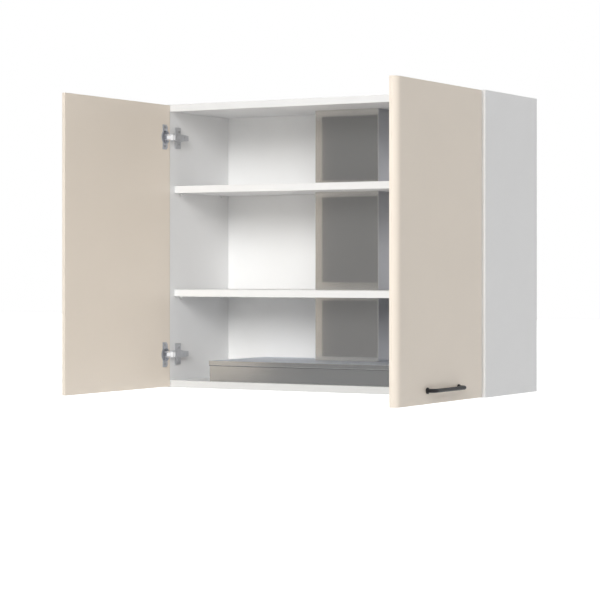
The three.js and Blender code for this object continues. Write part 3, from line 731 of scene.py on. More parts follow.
def loft(name: str, rings: np.ndarray, sharp: float = 35) -> Object:
    """Skins a stack of closed rings and caps both ends.

    The surface is points(i, j), ring i and place j on it, joined to the next ring and
    the next place. The caps are the first and the last ring themselves.

    Args:
        name: The object's name.
        rings: Points, rings by places by 3.
        sharp: The angle in degrees from which an edge stays sharp.

    Returns:
        The closed object.
    """
    count, places = rings.shape[:2]
    faces = ring_faces(count, places).tolist()
    faces.append(list(range(places))[::-1])
    faces.append(list(range((count - 1) * places, count * places)))
    return build(name, rings.reshape(-1, 3), faces, sharp)


def stacked(plans: Iterable[np.ndarray], heights: Iterable[float]) -> np.ndarray:
    """Lays flat outlines level, each at its height, as rings for a loft."""
    pairs = zip(plans, heights)
    return np.array([np.column_stack([plan, np.full(len(plan), z)]) for plan, z in pairs])


def rectangle(low: Sequence[float], high: Sequence[float]) -> np.ndarray:
    """Gives the four corners of a rectangle, anticlockwise from the lowest."""
    return np.array([low[:2], (high[0], low[1]), high[:2], (low[0], high[1])])


def slab(name: str, low: Sequence[float], high: Sequence[float]) -> Object:
    """Makes a square-edged block between two corners."""
    return loft(name, stacked([rectangle(low, high)] * 2, (low[2], high[2])))


def turned(
    name: str,
    profile: Sequence[tuple[float, float]],
    centre: Sequence[float],
    axis: Axis = Axis.Z,
    places: int = 48,
    sharp: float = 35,
) -> Object:
    """Turns a profile about an axis.

    The point at profile place i and angle a stands at the profile's radius times
    cos a and sin a across the axis, and at the profile's height along it.

    Args:
        name: The object's name.
        profile: Pairs of radius and height in metres. A closed profile ends where it
            starts, and an open one starts and ends on the axis.
        centre: The point on the axis that heights count from.
        axis: The axis of turning.
        places: How many points in a ring.
        sharp: The angle in degrees from which an edge stays sharp.

    Returns:
        The turned object.
    """
    shape = np.array(profile, float)
    angle = np.linspace(0, TURN, places, endpoint=False)
    points = np.empty((len(shape), places, 3))
    first, second = [(1, 2), (2, 0), (0, 1)][axis.value]
    points[..., first] = shape[:, :1] * np.cos(angle)
    points[..., second] = shape[:, :1] * np.sin(angle)
    points[..., axis.value] = shape[:, 1:]
    points += np.array(centre, float)
    return build(name, points.reshape(-1, 3), ring_faces(len(shape), places), sharp)


def swept(name: str, path: np.ndarray, radius: float, places: int = 32) -> Object:
    """Carries a circle along a path that lies level.

    At each point of the path the circle stands square to the path: its first axis is
    the level normal and its second is straight up.

    Args:
        name: The object's name.
        path: Points along the middle, n by 3.
        radius: The rod's radius.
        places: How many points round the rod.

    Returns:
        The closed rod.
    """
    along = np.gradient(path, axis=0)
    along /= np.linalg.norm(along, axis=1)[:, None]
    level = np.stack([-along[:, 1], along[:, 0], np.zeros(len(path))], -1)
    angle = np.linspace(0, TURN, places, endpoint=False)
    rings = (
        path[:, None]
        + radius * np.cos(angle)[None, :, None] * level[:, None]
        + radius * np.sin(angle)[None, :, None] * np.array([0, 0, 1])
    )
    return loft(name, rings)


def joined(name: str, parts: Iterable[Object]) -> Object:
    """Puts several objects' meshes in one object and removes the objects.

    Args:
        name: The new object's name.
        parts: The objects to take, each at the origin.

    Returns:
        One object with every part's mesh.
    """
    work = bmesh.new()
    for part in parts:
        work.from_mesh(part.data)
        bpy.data.objects.remove(part)
    mesh = bpy.data.meshes.new(name)
    work.to_mesh(mesh)
    work.free()
    return placed(name, mesh)


def moved(source: bpy.types.Mesh, name: str, matrix: np.ndarray) -> Object:
    """Copies a mesh to another place.

    Args:
        source: The mesh to copy.
        name: The new object's name.
        matrix: Four by four, from the source's place to the new one, not mirrored.

    Returns:
        The copy, its place in its mesh.
    """
    copy = source.copy()
    points = read(copy.vertices, "co") @ matrix[:3, :3].T + matrix[:3, 3]
    copy.vertices.foreach_set("co", points.ravel())
    return placed(name, copy)


def applied(piece: Object) -> Object:
    """Applies a piece's modifiers to its mesh and gives the piece back.

    Args:
        piece: The object with its modifiers.

    Returns:
        The same object.
    """
    graph = bpy.context.evaluated_depsgraph_get()
    mesh = bpy.data.meshes.new_from_object(piece.evaluated_get(graph))
    piece.modifiers.clear()
    piece.data = mesh
    return piece


def evened(piece: Object, near: float = SQUARE) -> Object:
    """Lets large faces set the shading, and square ones shade quite flat.

    Args:
        piece: The object, smooth with its sharp edges marked.
        near: The cosine from which a face counts as square.

    Returns:
        The same object with its own corner normals.
    """
    weigh = piece.modifiers.new("shading", "WEIGHTED_NORMAL")
    weigh.keep_sharp = True
    mesh = applied(piece).data
    counts = np.empty(len(mesh.polygons), np.int32)
    mesh.polygons.foreach_get("loop_total", counts)
    own = np.repeat(read(mesh.polygons, "normal"), counts, axis=0)
    square = np.abs(own).max(axis=1, keepdims=True) > near
    corners = np.where(square, np.round(own), read(mesh.corner_normals, "vector"))
    mesh.normals_split_custom_set(corners)
    return piece


def softened(
    node: Object,
    name: str,
    radius: float,
    steps: int = 2,
    whole: bool = True,
) -> Object:
    """Copies a solid of the frame and rounds the edges that turn by over 40 degrees.

    Args:
        node: The frame's node.
        name: The new object's name.
        radius: The width of the rounding.
        steps: How many facets cross it.
        whole: Whether flat areas become single faces first, which a plate with many
            openings can't.

    Returns:
        The rounded copy.
    """
    piece = placed(name, node.data.copy())
    piece.data.materials.clear()
    work = bmesh.new()
    work.from_mesh(piece.data)
    bmesh.ops.remove_doubles(work, verts=work.verts, dist=1e-6)
    if whole:
        bmesh.ops.dissolve_limit(
            work, angle_limit=math.radians(1), verts=work.verts, edges=work.edges
        )
    work.to_mesh(piece.data)
    work.free()
    bevel = piece.modifiers.new("edges", "BEVEL")
    bevel.width = radius
    bevel.segments = steps
    bevel.limit_method = "ANGLE"
    bevel.angle_limit = math.radians(40)
    bevel.miter_outer = "MITER_ARC"
    applied(piece)
    tidy(piece, 30, 1e-7)
    return evened(piece, SQUARE if whole else NEARLY_SQUARE)


def bored(piece: Object, cutters: Iterable[Object]) -> Object:
    """Cuts each cutter out of a piece and removes the cutters.

    Args:
        piece: The piece to cut.
        cutters: Closed objects that overlap it.

    Returns:
        The same piece, cut.
    """
    cutters = list(cutters)
    for cutter in cutters:
        hole = piece.modifiers.new("bore", "BOOLEAN")
        hole.operation = "DIFFERENCE"
        hole.solver = "EXACT"
        hole.object = cutter
    applied(piece)
    for cutter in cutters:
        bpy.data.objects.remove(cutter)
    return piece


def arc(centre: Sequence[float], radius: float, start: float, end: float) -> np.ndarray:
    """Points on a flat arc in 16 steps, from one angle in degrees to another."""
    angle = np.radians(np.linspace(start, end, 17))
    return np.array(centre) + radius * np.column_stack([np.cos(angle), np.sin(angle)])


def bulged(start: Sequence[float], end: Sequence[float], rise: float, steps: int) -> np.ndarray:
    """Points on a shallow arc over a chord, both ends with it.

    The point at angle a from the arc's middle stands at the centre plus the radius
    times cos a across the chord and sin a along it.

    Args:
        start: The first point.
        end: The last point.
        rise: The arc's height over the chord, positive to the right of the way.
        steps: How many straight pieces.

    Returns:
        The points, steps + 1 by 2.
    """
    first, last = np.array(start, float), np.array(end, float)
    chord = np.linalg.norm(last - first)
    along = (last - first) / chord
    right = np.array([along[1], -along[0]]) * np.sign(rise)
    high = abs(rise)
    radius = (chord**2 / 4 + high**2) / (2 * high)
    half = math.asin(chord / 2 / radius)
    angle = np.linspace(-half, half, steps + 1)[:, None]
    centre = (first + last) / 2 - right * (radius - high)
    return centre + radius * (np.cos(angle) * right + np.sin(angle) * along)


# Sub-assemblies


@dataclass
class Assembly:
    """What the sub-assemblies share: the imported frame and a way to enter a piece."""

    frame: dict

    def node(self, name: str) -> Object:
        """The frame's node of that name."""
        return self.frame["nodes"][name]

    def limits(self, name: str) -> tuple[np.ndarray, np.ndarray]:
        """A node's lowest and highest corner in metres."""
        low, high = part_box(name)
        return np.array(low), np.array(high)

    def ends(self, name: str, side: Side) -> tuple[float, float]:
        """A node's X towards the cabinet's middle, and away from it."""
        low, high = self.limits(name)
        return (high[0], low[0]) if side is Side.LEFT else (low[0], high[0])

    def enter(
        self,
        piece: Object,
        finish: Finish | Sequence[Finish],
        body: str,
        slot: str,
        stands_for: Sequence[str] = (),
    ) -> None:
        """Dresses a piece, sets it on its body and reports it.

        Args:
            piece: The finished object.
            finish: Its finish, or one for each material number of its faces.
            body: The body that it moves with.
            slot: The record's material slot; not used.
            stands_for: Frame nodes that it takes the place of.
        """
        finishes = [finish] if isinstance(finish, Finish) else list(finish)
        for each in finishes:
            piece.data.materials.append(each.material())
        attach(piece, body)
        if stands_for:
            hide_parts(*stands_for)
        LOG.info("%s: %d faces on %s", piece.name, len(piece.data.polygons), body)

    def dress(self, names: Iterable[str], finish: Finish) -> None:
        """Gives frame nodes that stay in view their finish.

        Args:
            names: The nodes' names.
            finish: Their finish.
        """
        for name in names:
            node = self.node(name)
            node.data.materials.clear()
            node.data.materials.append(finish.material())
            LOG.info("%s: kept, in %s", name, finish.name)


def choose_faces(
    piece: Object, test: Callable[[np.ndarray, np.ndarray], np.ndarray]
) -> None:
    """Gives each face the material that a test picks for it.

    Args:
        piece: The object.
        test: Takes the faces' normals and centres, and gives material numbers, or
            truth for the second material.
    """
    faces = piece.data.polygons
    chosen = test(read(faces, "normal"), read(faces, "center"))
    faces.foreach_set("material_index", chosen.astype(np.int32))


@dataclass
class Carcass(Assembly):
    """The white boards, the back panel, the shelf pins and the hangers."""

    board_edge: float = 0.6 * MM
    steel_edge: float = 0.5 * MM
    sheet_edge: float = 0.2 * MM
    pin_radius: float = 3 * MM
    pin_shank: float = 8.3 * MM

    def make(self) -> None:
        """Makes every piece of the carcass."""
        panels = [f"{part}_panel" for part in ("left_side", "right_side", "top", "bottom")]
        for name in (*panels, "lower_shelf", "upper_shelf"):
            self.board(name)
        self.back_panel()
        for side in Side:
            self.hanger(side)
            for level in Level:
                for spot in ("front", "back"):
                    self.shelf_pin(f"{level.word}_shelf_pin_{side.word}_{spot}", side)

    def board(self, name: str) -> None:
        """Makes one board with eased edges, its rear edge raw.

        Args:
            name: The board's node.
        """
        piece = softened(self.node(name), f"{name}_board", self.board_edge)
        low, high = self.limits(name)
        choose_faces(
            piece,
            lambda normal, centre: np.select(
                [
                    (normal[:, 1] > 0.9) & (centre[:, 1] > high[1] - MM),
                    (normal[:, 1] < -0.9) & (centre[:, 1] < low[1] + MM),
                ],
                [1, 2],
            ),
        )
        # The bottom board's front edge takes a darker band, a painted shade.
        band = EDGE_BAND_PAINTED_SHADE if name == "bottom_panel" else EDGE_BAND
        self.enter(piece, (CARCASS, RAW_EDGE, band), "carcass", "carcass_board", (name,))

    def back_panel(self) -> None:
        """Makes the back panel, lacquered inside and raw outside."""
        piece = softened(self.node("back_panel"), "back_panel_sheet", self.sheet_edge, 1)
        choose_faces(piece, lambda normal, centre: normal[:, 1] > 0.5)
        self.enter(piece, (BACK_WHITE, BACK_RAW), "carcass", "back_board", ("back_panel",))

    def hanger(self, side: Side) -> None:
        """Makes one hanger.

        Args:
            side: The side that it hangs.
        """
        name = f"{side.word}_hanger"
        piece = softened(self.node(name), f"{name}_bracket", self.steel_edge)
        self.enter(piece, ZINC, "carcass", "zinc_steel", (name,))

    def shelf_pin(self, name: str, side: Side) -> None:
        """Turns one shelf pin: a shank in the board and a rounded head under the shelf.

        Args:
            name: The pin's node.
            side: The side whose panel holds it.
        """
        _, y, z = sum(self.limits(name)) / 2
        end, start = self.ends(name, side)
        step = np.sign(end - start)
        radius, neck = self.pin_radius, start + step * self.pin_shank
        profile = [
            (0, start),
            (radius * 0.82, start),
            (radius * 0.82, neck),
            (radius, neck),
            (radius, end - step * 0.6 * MM),
            (radius * 0.85, end - step * 0.1 * MM),
            (radius * 0.6, end),
            (0, end),
        ]
        piece = turned(f"{name}_peg", profile, (0, y, z), Axis.X, 32)
        self.enter(piece, PIN_PLASTIC, "carcass", "pin_plastic", (name,))


@dataclass
class Screws:
    """Cross-recessed screw heads, made once and copied.

    Lengths here are shares of the head's radius, and depths are shares of its height.
    """

    places: int = 48
    rings: int = 12
    arm_width: float = 0.13
    arm_reach: float = 0.55
    arm_softness: tuple[float, float] = (0.025, 0.03)
    dome: float = 0.28
    recess: float = 0.55
    made: dict = field(default_factory=dict)

    def head(self, radius: float, height: float) -> bpy.types.Mesh:
        """A pan head seen along Z, its seat at the origin.

        The top at radius r and angle a is a dome that falls with the fourth power of
        r, less a recess where the point lies near either arm of a cross.

        Args:
            radius: The head's radius.
            height: The head's height.

        Returns:
            The head's mesh.
        """
        key = (radius, height)
        if key in self.made:
            return self.made[key]
        share = np.linspace(0, 1, self.rings)[:, None]
        angle = np.linspace(0, TURN, self.places, endpoint=False)[None, :]
        across, up = share * np.cos(angle), share * np.sin(angle)
        arm = np.minimum(np.abs(across), np.abs(up))
        side, tip = self.arm_softness
        slot = 1 / (1 + np.exp((arm - self.arm_width) / side))
        slot = slot / (1 + np.exp((share - self.arm_reach) / tip))
        top = height * (1 - self.dome * share**4 - self.recess * slot)
        points = np.stack([radius * across, radius * up, top], -1)
        skirt = np.stack([radius * across[-1], radius * up[-1], np.zeros(self.places)], -1)
        rings = np.concatenate([points, skirt[None]])
        faces = ring_faces(len(rings), self.places).tolist()
        faces.append(list(range((len(rings) - 1) * self.places, len(rings) * self.places)))
        scratch = build("screw_pattern", rings.reshape(-1, 3), faces, 50)
        mesh = scratch.data
        bpy.data.objects.remove(scratch)
        self.made[key] = mesh
        return mesh

    def facing(
        self, name: str, seats: Sequence, radius: float, height: float, way: int, twist: float
    ) -> Object:
        """Sets heads on seats that face along X.

        Args:
            name: The new object's name.
            seats: The seats' points.
            radius: The heads' radius.
            height: The heads' height.
            way: 1 where they face to the right and -1 to the left.
            twist: The angle in degrees by which each head is turned past the last.

        Returns:
            One object with all the heads.
        """
        heads = []
        for number, seat in enumerate(seats):
            turn = math.radians(20 + number * twist)
            matrix = np.eye(4)
            matrix[:3, 0] = (0, way * math.cos(turn), math.sin(turn))
            matrix[:3, 1] = (0, -way * math.sin(turn), math.cos(turn))
            matrix[:3, 2] = (way, 0, 0)
            matrix[:3, 3] = seat
            heads.append(moved(self.head(radius, height), f"{name}_{number}", matrix))
        return joined(name, heads)


@dataclass
class Doors(Assembly):
    """The two doors and their bow handles."""

    edge_flat: float = 6.5 * MM
    edge_reach: float = 19 * MM
    edge_bulge: float = 3 * MM
    edge_steps: int = 14
    skin: float = 0.7 * MM
    guard_reach: float = 30 * MM
    ease: float = 0.9 * MM
    cup_radius: float = 17.8 * MM
    cup_depth: float = 11.8 * MM
    cup_from_edge: float = 20.5 * MM
    rod_radius: float = 4.5 * MM
    bend_radius: float = 12 * MM
    disc_radius: float = 7 * MM
    disc_thickness: float = 3 * MM
    disc_chamfer: float = 0.5 * MM
    cap_radius: float = 5 * MM
    cap_height: float = 0.5 * MM

    def make(self) -> None:
        """Makes both doors, handles and the caps over the handle screws."""
        for side in Side:
            self.door(side)
            self.handle(side)
            for spot in ("near", "far"):
                self.screw_cap(side, spot)

    def door(self, side: Side) -> None:
        """Carries the door's outline, round on its outer long edges, up its height.

        Args:
            side: The door's side.
        """
        name = f"{side.word}_door"
        low, high = self.limits(name)
        inner, outer = self.ends(name, side)
        heel, toe = high[1], low[1]
        sign = side.value
        start, end = (outer, toe + self.edge_reach), (inner + sign * self.edge_flat, toe)
        front = bulged(start, end, -sign * self.edge_bulge, self.edge_steps)
        outline = np.concatenate([[[inner, heel]], self.heel_arc(side), front, [[inner, toe]]])
        middle = np.array([inner + outer, heel + toe]) / 2
        half = np.array([abs(outer - inner), heel - toe]) / 2
        quarter = np.radians(np.linspace(0, 90, 5))
        insets = self.ease * (1 - np.sin(quarter))
        lifts = self.ease * (1 - np.cos(quarter))
        plans = [
            middle + (outline - middle) * (1 - inset / half)
            for inset in np.concatenate([insets, insets[::-1]])
        ]
        heights = np.concatenate([low[2] + lifts, high[2] - lifts[::-1]])
        piece = loft(f"{name}_front", stacked(plans, heights), 30)
        reach = self.cup_depth + MM
        start = inner + sign * self.cup_depth - (sign + 1) / 2 * reach
        profile = [(0, 0), (self.cup_radius, 0), (self.cup_radius, reach), (0, reach)]
        cutters = []
        for level in Level:
            centre = (start, heel - self.cup_from_edge, level.value)
            cutter = turned("cup_cutter", profile, centre, Axis.X, 64)
            cutters.append(bored(cutter, [self.guard(side, level, self.skin)]))
        bored(piece, cutters)
        tidy(piece, 30)
        evened(piece)
        self.enter(piece, DOOR, f"{side.word}_door_set", "door_board", (name,))

    def heel_arc(self, side: Side, depth: float = 0.0) -> np.ndarray:
        """Points on the arc over the hinge edge, or below it by a depth.

        Args:
            side: The door's side.
            depth: How far below the edge's skin to go.

        Returns:
            The points, from the edge's flat outward, n by 2.
        """
        name, sign = f"{side.word}_door", side.value
        inner, outer = self.ends(name, side)
        heel, flat = self.limits(name)[1][1], inner + sign * self.edge_flat
        start, end = (flat, heel), (outer, heel - self.edge_reach)
        points = bulged(start, end, -sign * self.edge_bulge, self.edge_steps)
        outward = np.array([sign * self.edge_reach, abs(outer - flat)])
        return points - depth * outward / np.linalg.norm(outward)

    def guard(self, side: Side, level: Level, depth: float) -> Object:
        """Fills the air over the hinge edge beside one hinge, and a depth of the door.

        What is cut with it can't break through the edge's round.

        Args:
            side: The door's side.
            level: The hinge's level.
            depth: How far it goes into the door.

        Returns:
            The closed filling.
        """
        arc_points = self.heel_arc(side, depth)
        start, end = arc_points[0], arc_points[-1]
        far, back = end[0] + side.value * self.guard_reach, start[1] + self.guard_reach
        plan = np.concatenate([arc_points, [(far, end[1]), (far, back), (start[0], back)]])
        heights = level.value - self.guard_reach, level.value + self.guard_reach
        return loft("guard", stacked([plan, plan], heights))

    def handle(self, side: Side) -> None:
        """Bends the rod into a bow, sets it on its two discs and adds the screws.

        Args:
            side: The door's side.
        """
        name = f"{side.word}_handle"
        low, high = self.limits(name)
        sign = side.value
        face, _ = self.ends(name, side)
        reach = (high[0] - low[0]) - self.rod_radius
        near, far = low[1] + self.disc_radius, high[1] - self.disc_radius
        height = (low[2] + high[2]) / 2
        bend = self.bend_radius
        corner_one = arc((reach - bend, near + bend), bend, -90, 0)
        corner_two = arc((reach - bend, far - bend), bend, 0, 90)
        start = np.array([[0.0, near], [(reach - bend) / 2, near]])
        end = np.array([[(reach - bend) / 2, far], [0.0, far]])
        along = np.linspace(near + bend, far - bend, 11)[1:-1]
        straight = np.column_stack([np.full(len(along), reach), along])
        flat = np.concatenate([start, corner_one, straight, corner_two, end])
        path = stacked([flat * (sign, 1) + (face, 0)], [height])[0]
        parts = [swept("rod", path, self.rod_radius)]
        thick, radius, chamfer = self.disc_thickness, self.disc_radius, self.disc_chamfer
        for place in (near, far):
            profile = [
                (0, 0),
                (radius, 0),
                (radius, sign * (thick - chamfer)),
                (radius - chamfer * 0.3, sign * (thick - chamfer * 0.3)),
                (radius - chamfer, sign * thick),
                (0, sign * thick),
            ]
            parts.append(turned("disc", profile, (face, place, height), Axis.X, 48))
        piece = joined(f"{name}_bow", parts)
        self.enter(piece, HANDLE_BLACK, f"{side.word}_door_set", "black_metal", (name,))

    def screw_cap(self, side: Side, spot: str) -> None:
        """Covers one handle screw with a low cap in the door's colour.

        Args:
            side: The door's side.
            spot: Which of the handle's two screws it covers.
        """
        name = f"{side.word}_handle_screw_{spot}"
        _, y, z = sum(self.limits(name)) / 2
        centre = (self.ends(f"{side.word}_door", side)[0], y, z)
        rise, radius = -side.value * self.cap_height, self.cap_radius
        shape = ((0, 0), (1, 0), (0.9, 0.6), (0.6, 0.9), (0, 1))
        profile = [(radius * out, rise * up) for out, up in shape]
        piece = turned(f"{name}_cap", profile, centre, Axis.X, 48, 60)
        self.enter(piece, DOOR, f"{side.word}_door_set", "door_board", (name,))


@dataclass
class Hinges(Assembly):
    """The four concealed hinges, with eased edges and their screws."""

    screws: Screws = field(default_factory=Screws)
    edge: float = 0.25 * MM
    cup_cover: float = 1.0 * MM
    head_radius: float = 3.1 * MM
    head_height: float = 1.1 * MM
    flange_screw_from_edge: float = 24 * MM
    flange_screw_rise: float = 24 * MM
    wing_screw_rise: float = 16 * MM
    wing_line: float = -263 * MM
    plate_line: float = 429.2 * MM
    flange_thickness: float = 1.3 * MM

    def make(self) -> None:
        """Makes every hinge."""
        for side in Side:
            for level in Level:
                self.hinge(side, level)

    def hinge(self, side: Side, level: Level) -> None:
        """Rounds the edges of one hinge's parts and adds its screws.

        Args:
            side: The side that it hangs on.
            level: The level that it sits at.
        """
        stem = f"{side.word}_{level.word}"
        # The links' near white is a painted highlight, and the cup's paler tone partly painted
        # light.
        homes = {
            "hinge_plate": ("carcass", NICKEL),
            "hinge_arm": ("carcass", NICKEL),
            "hinge_cup": (f"{side.word}_door_set", CUP_NICKEL_PAINTED_LIGHT),
            "rear_link": (f"{stem}_rear_link", LINK_PAINTED_HIGHLIGHT),
            "front_link": (f"{stem}_front_link", LINK_PAINTED_HIGHLIGHT),
        }
        for part, (body, finish) in homes.items():
            name = f"{stem}_{part}"
            piece = softened(self.node(name), f"{name}_pressing", self.edge)
            if part == "hinge_cup":
                bored(piece, [Doors(self.frame).guard(side, level, self.cup_cover)])
                tidy(piece, 30, 1e-7)
                evened(piece)
            self.enter(piece, finish, body, "nickel_steel", (name,))
        door = f"{side.word}_door"
        edge, face = self.limits(door)[1][1], self.ends(door, side)[0]
        for place, x, y, rise, twist, body in (
            (
                "cup",
                face - side.value * self.flange_thickness,
                edge - self.flange_screw_from_edge,
                self.flange_screw_rise,
                47,
                f"{door}_set",
            ),
            (
                "plate",
                side.value * self.plate_line,
                self.wing_line,
                self.wing_screw_rise,
                31,
                "carcass",
            ),
        ):
            seats = [(x, y, level.value + end * rise) for end in (-1, 1)]
            name, size = f"{stem}_{place}_screws", (self.head_radius, self.head_height)
            piece = self.screws.facing(name, seats, *size, -side.value, twist)
            self.enter(piece, SCREW_ZINC, body, "nickel_steel")


@dataclass
class Hood(Assembly):
    """The cooker hood, its duct cover, fan, filters, lamps and buttons."""

    sheet_edge: float = 0.7 * MM
    small_edge: float = 0.3 * MM
    # Widths of the duct cover's margins, which carry a painted reflection: left and right, then
    # below and above each bay.
    side_margins: tuple[float, float] = (19 * MM, 3 * MM)
    bay_margins: tuple[tuple[float, float], ...] = (
        (9 * MM, 9 * MM),
        (19 * MM, 13 * MM),
        (11 * MM, 16 * MM),
    )
    button_edge: float = 0.5 * MM
    filter_border: float = 12 * MM
    filter_bed: float = 3 * MM
    baffle_pitch: float = 22 * MM
    baffle_width: float = 15 * MM
    baffle_clearance: float = 0.3 * MM
    # Insets and height of the dark strip that paints the shadow under the lid.
    seal_insets: tuple[float, float] = (0.55 * MM, 1.22 * MM)
    seal_height: float = 1.6 * MM
    rim_radii: tuple[float, float] = (18.6 * MM, 22.5 * MM)
    rim_drop: float = 1.1 * MM
    mark_thickness: float = 0.06 * MM
    mark_radii: tuple[float, float] = (1.8 * MM, 2.4 * MM)
    bar_size: tuple[float, float] = (5 * MM, 0.8 * MM)
    bar_pitch: float = 2 * MM

    def make(self) -> None:
        """Makes every piece of the hood."""
        for name, finishes in (
            ("hood_body", (HOOD_STEEL, MATT_STEEL_PAINTED_TINT, HOOD_STEEL)),
            ("hood_top_cover", (HOOD_STEEL, MATT_STEEL_PAINTED_TINT, HOOD_STEEL)),
            ("duct_cover", (self.cover_finish(), COVER_STEEL, FLANK_STEEL_PAINTED_SHADE)),
        ):
            whole = name != "hood_body"
            piece = softened(self.node(name), f"{name}_sheet", self.sheet_edge, 3, whole=whole)
            # Up-facing faces take the top's painted reflection tint; the duct cover's side faces
            # take the flanks' painted shade.
            choose_faces(
                piece,
                lambda normal, centre: np.select(
                    [normal[:, 2] > 0.9, np.abs(normal[:, 0]) > 0.9], [1, 2]
                ),
            )
            self.enter(piece, finishes, "carcass", "hood_steel", (name,))
        self.lid_seal()
        for name, finish, slot in (
            ("outlet_duct", DUCT_PLASTIC, "duct_plastic"),
            ("fan_motor", ZINC, "zinc_steel"),
        ):
            piece = softened(self.node(name), f"{name}_eased", self.small_edge)
            self.enter(piece, finish, "carcass", slot, (name,))
        self.dress(("fan_impeller",), DARK_PLASTIC)
        for side in Side:
            self.lamp(side)
            self.grease_filter(side)
        for number, name in enumerate(("light", "low", "high")):
            self.button(name, number)

    def cover_finish(self) -> FramedSteel:
        """The duct cover's finish, with a pane in each bay between the shelves and painted
        reflection margins round the panes.

        Returns:
            The finish, its panes placed on the cover.
        """
        low, high = self.limits("duct_cover")
        left, right = self.side_margins
        edges = [low[2]]
        for name in ("lower_shelf", "upper_shelf"):
            edges += [limit[2] for limit in self.limits(name)]
        edges.append(high[2])
        rows = tuple(
            (start + bottom, end - top)
            for start, end, (bottom, top) in zip(edges[::2], edges[1::2], self.bay_margins)
        )
        return replace(COVER_STEEL, column=(low[0] + left, high[0] - right), rows=rows)

    def grease_filter(self, side: Side) -> None:
        """Makes a filter: a mesh sheet in a frame, with round baffles on both faces.

        A baffle's section at angle a has its point at half the baffle's width times
        cos a, and below the frame's bed by the baffle's height times sin a.

        Args:
            side: The filter's side.
        """
        name = f"{side.word}_grease_filter"
        low, high = self.limits(name)
        border, bed = self.filter_border, self.filter_bed
        inner_low, inner_high = low[:2] + border, high[:2] - border
        start, end = inner_low[0], inner_high[0]
        bars = [
            slab("bar", low, (start, high[1], high[2])),
            slab("bar", (end, low[1], low[2]), high),
            slab("bar", (start, low[1], low[2]), (end, inner_low[1], high[2])),
            slab("bar", (start, inner_high[1], low[2]), (end, high[1], high[2])),
        ]
        count = int((end - start) // self.baffle_pitch)
        first = (start + end - (count - 1) * self.baffle_pitch) / 2
        angle = np.linspace(0, math.pi, 13)
        rise = (bed - self.baffle_clearance) * np.sin(angle)
        for number in range(count):
            across = first + number * self.baffle_pitch + self.baffle_width / 2 * np.cos(angle)
            for seat, way in ((low[2] + bed, -1), (high[2] - bed, 1)):
                section = np.column_stack([across, np.zeros(len(angle)), seat + way * rise])
                rings = np.array([section + (0, y, 0) for y in (inner_low[1], inner_high[1])])
                bars.append(loft("baffle", rings, 50))
        frame = joined(f"{name}_frame", bars)
        self.enter(frame, FILTER_FRAME, "carcass", "filter_aluminium", (name,))
        corners = (*inner_low, low[2] + bed), (*inner_high, high[2] - bed)
        sheet = slab(f"{name}_mesh", *corners)
        self.enter(sheet, FILTER_METAL, "carcass", "filter_aluminium")

    def lid_seal(self) -> None:
        """Lays a thin dark strip round the body, just under the lid's lip: a painted shadow of the
        gap there.
        """
        # The strip is a painted shadow for the gap under the lip.
        low, high = self.limits("hood_top_cover")
        outer, inner = self.seal_insets
        top, bottom = low[2], low[2] - self.seal_height
        section = ((outer, bottom), (outer, top), (inner, top), (inner, bottom), (outer, bottom))
        plans = [rectangle(low + inset, high - inset) for inset, _ in section]
        points = stacked(plans, [z for _, z in section])
        piece = build("hood_lid_seal", points.reshape(-1, 3), ring_faces(*points.shape[:2]))
        self.enter(piece, SHADOW_STRIP_DARK, "carcass", "dark_plastic")

    def lamp(self, side: Side) -> None:
        """Makes one lamp's glass, and its trim ring under the tray.

        Args:
            side: The lamp's side.
        """
        name = f"{side.word}_lamp"
        piece = softened(self.node(name), f"{name}_glass", self.small_edge)
        self.enter(piece, LAMP_GLASS, "carcass", "lamp_glass", (name,))
        low, high = self.limits(name)
        x, y, _ = (low + high) / 2
        face, drop, soft = low[2], self.rim_drop, self.rim_drop / 3
        start, end = self.rim_radii
        profile = [
            (start, face),
            (start, face - drop + soft),
            (start + soft, face - drop),
            (end - 2 * soft, face - drop),
            (end, face - soft),
            (end, face),
            (start, face),
        ]
        ring = turned(f"{name}_rim", profile, (x, y, 0), places=64)
        # The rim shares the top's matt steel and its painted reflection tint.
        self.enter(ring, MATT_STEEL_PAINTED_TINT, "carcass", "hood_steel")

    def button(self, name: str, bars: int) -> None:
        """Makes one push button with bars for its level, or a ring for the light.

        Args:
            name: The button's name.
            bars: How many bars its mark has, or 0 for the ring.
        """
        body = f"{name}_button"
        piece = softened(self.node(body), f"{body}_cap", self.button_edge, 3)
        self.enter(piece, DARK_PLASTIC, body, "dark_plastic", (body,))
        low, high = self.limits(body)
        x, y, _ = (low + high) / 2
        face, ink = low[2], low[2] - self.mark_thickness
        if bars == 0:
            start, end = self.mark_radii
            profile = [(start, face), (end, face), (end, ink), (start, ink), (start, face)]
            marks = [turned("ring_mark", profile, (x, y, 0), places=40)]
        else:
            half = np.array(self.bar_size) / 2
            marks = []
            for number in range(bars):
                middle = np.array([x, y + (number - (bars - 1) / 2) * self.bar_pitch])
                marks.append(slab("bar_mark", (*(middle - half), ink), (*(middle + half), face)))
        self.enter(joined(f"{body}_mark", marks), MARK_WHITE, body, "dark_plastic")


# Studio


@dataclass(frozen=True)
class SoftSun:
    """A broad, distant light, by where it stands seen from the cabinet.

    The azimuth counts in degrees from straight in front towards the right. A light that
    doesn't shine leaves no highlight of its own.
    """

    name: str
    azimuth: float
    elevation: float
    strength: float
    spread: float = 25.0
    shines: bool = True


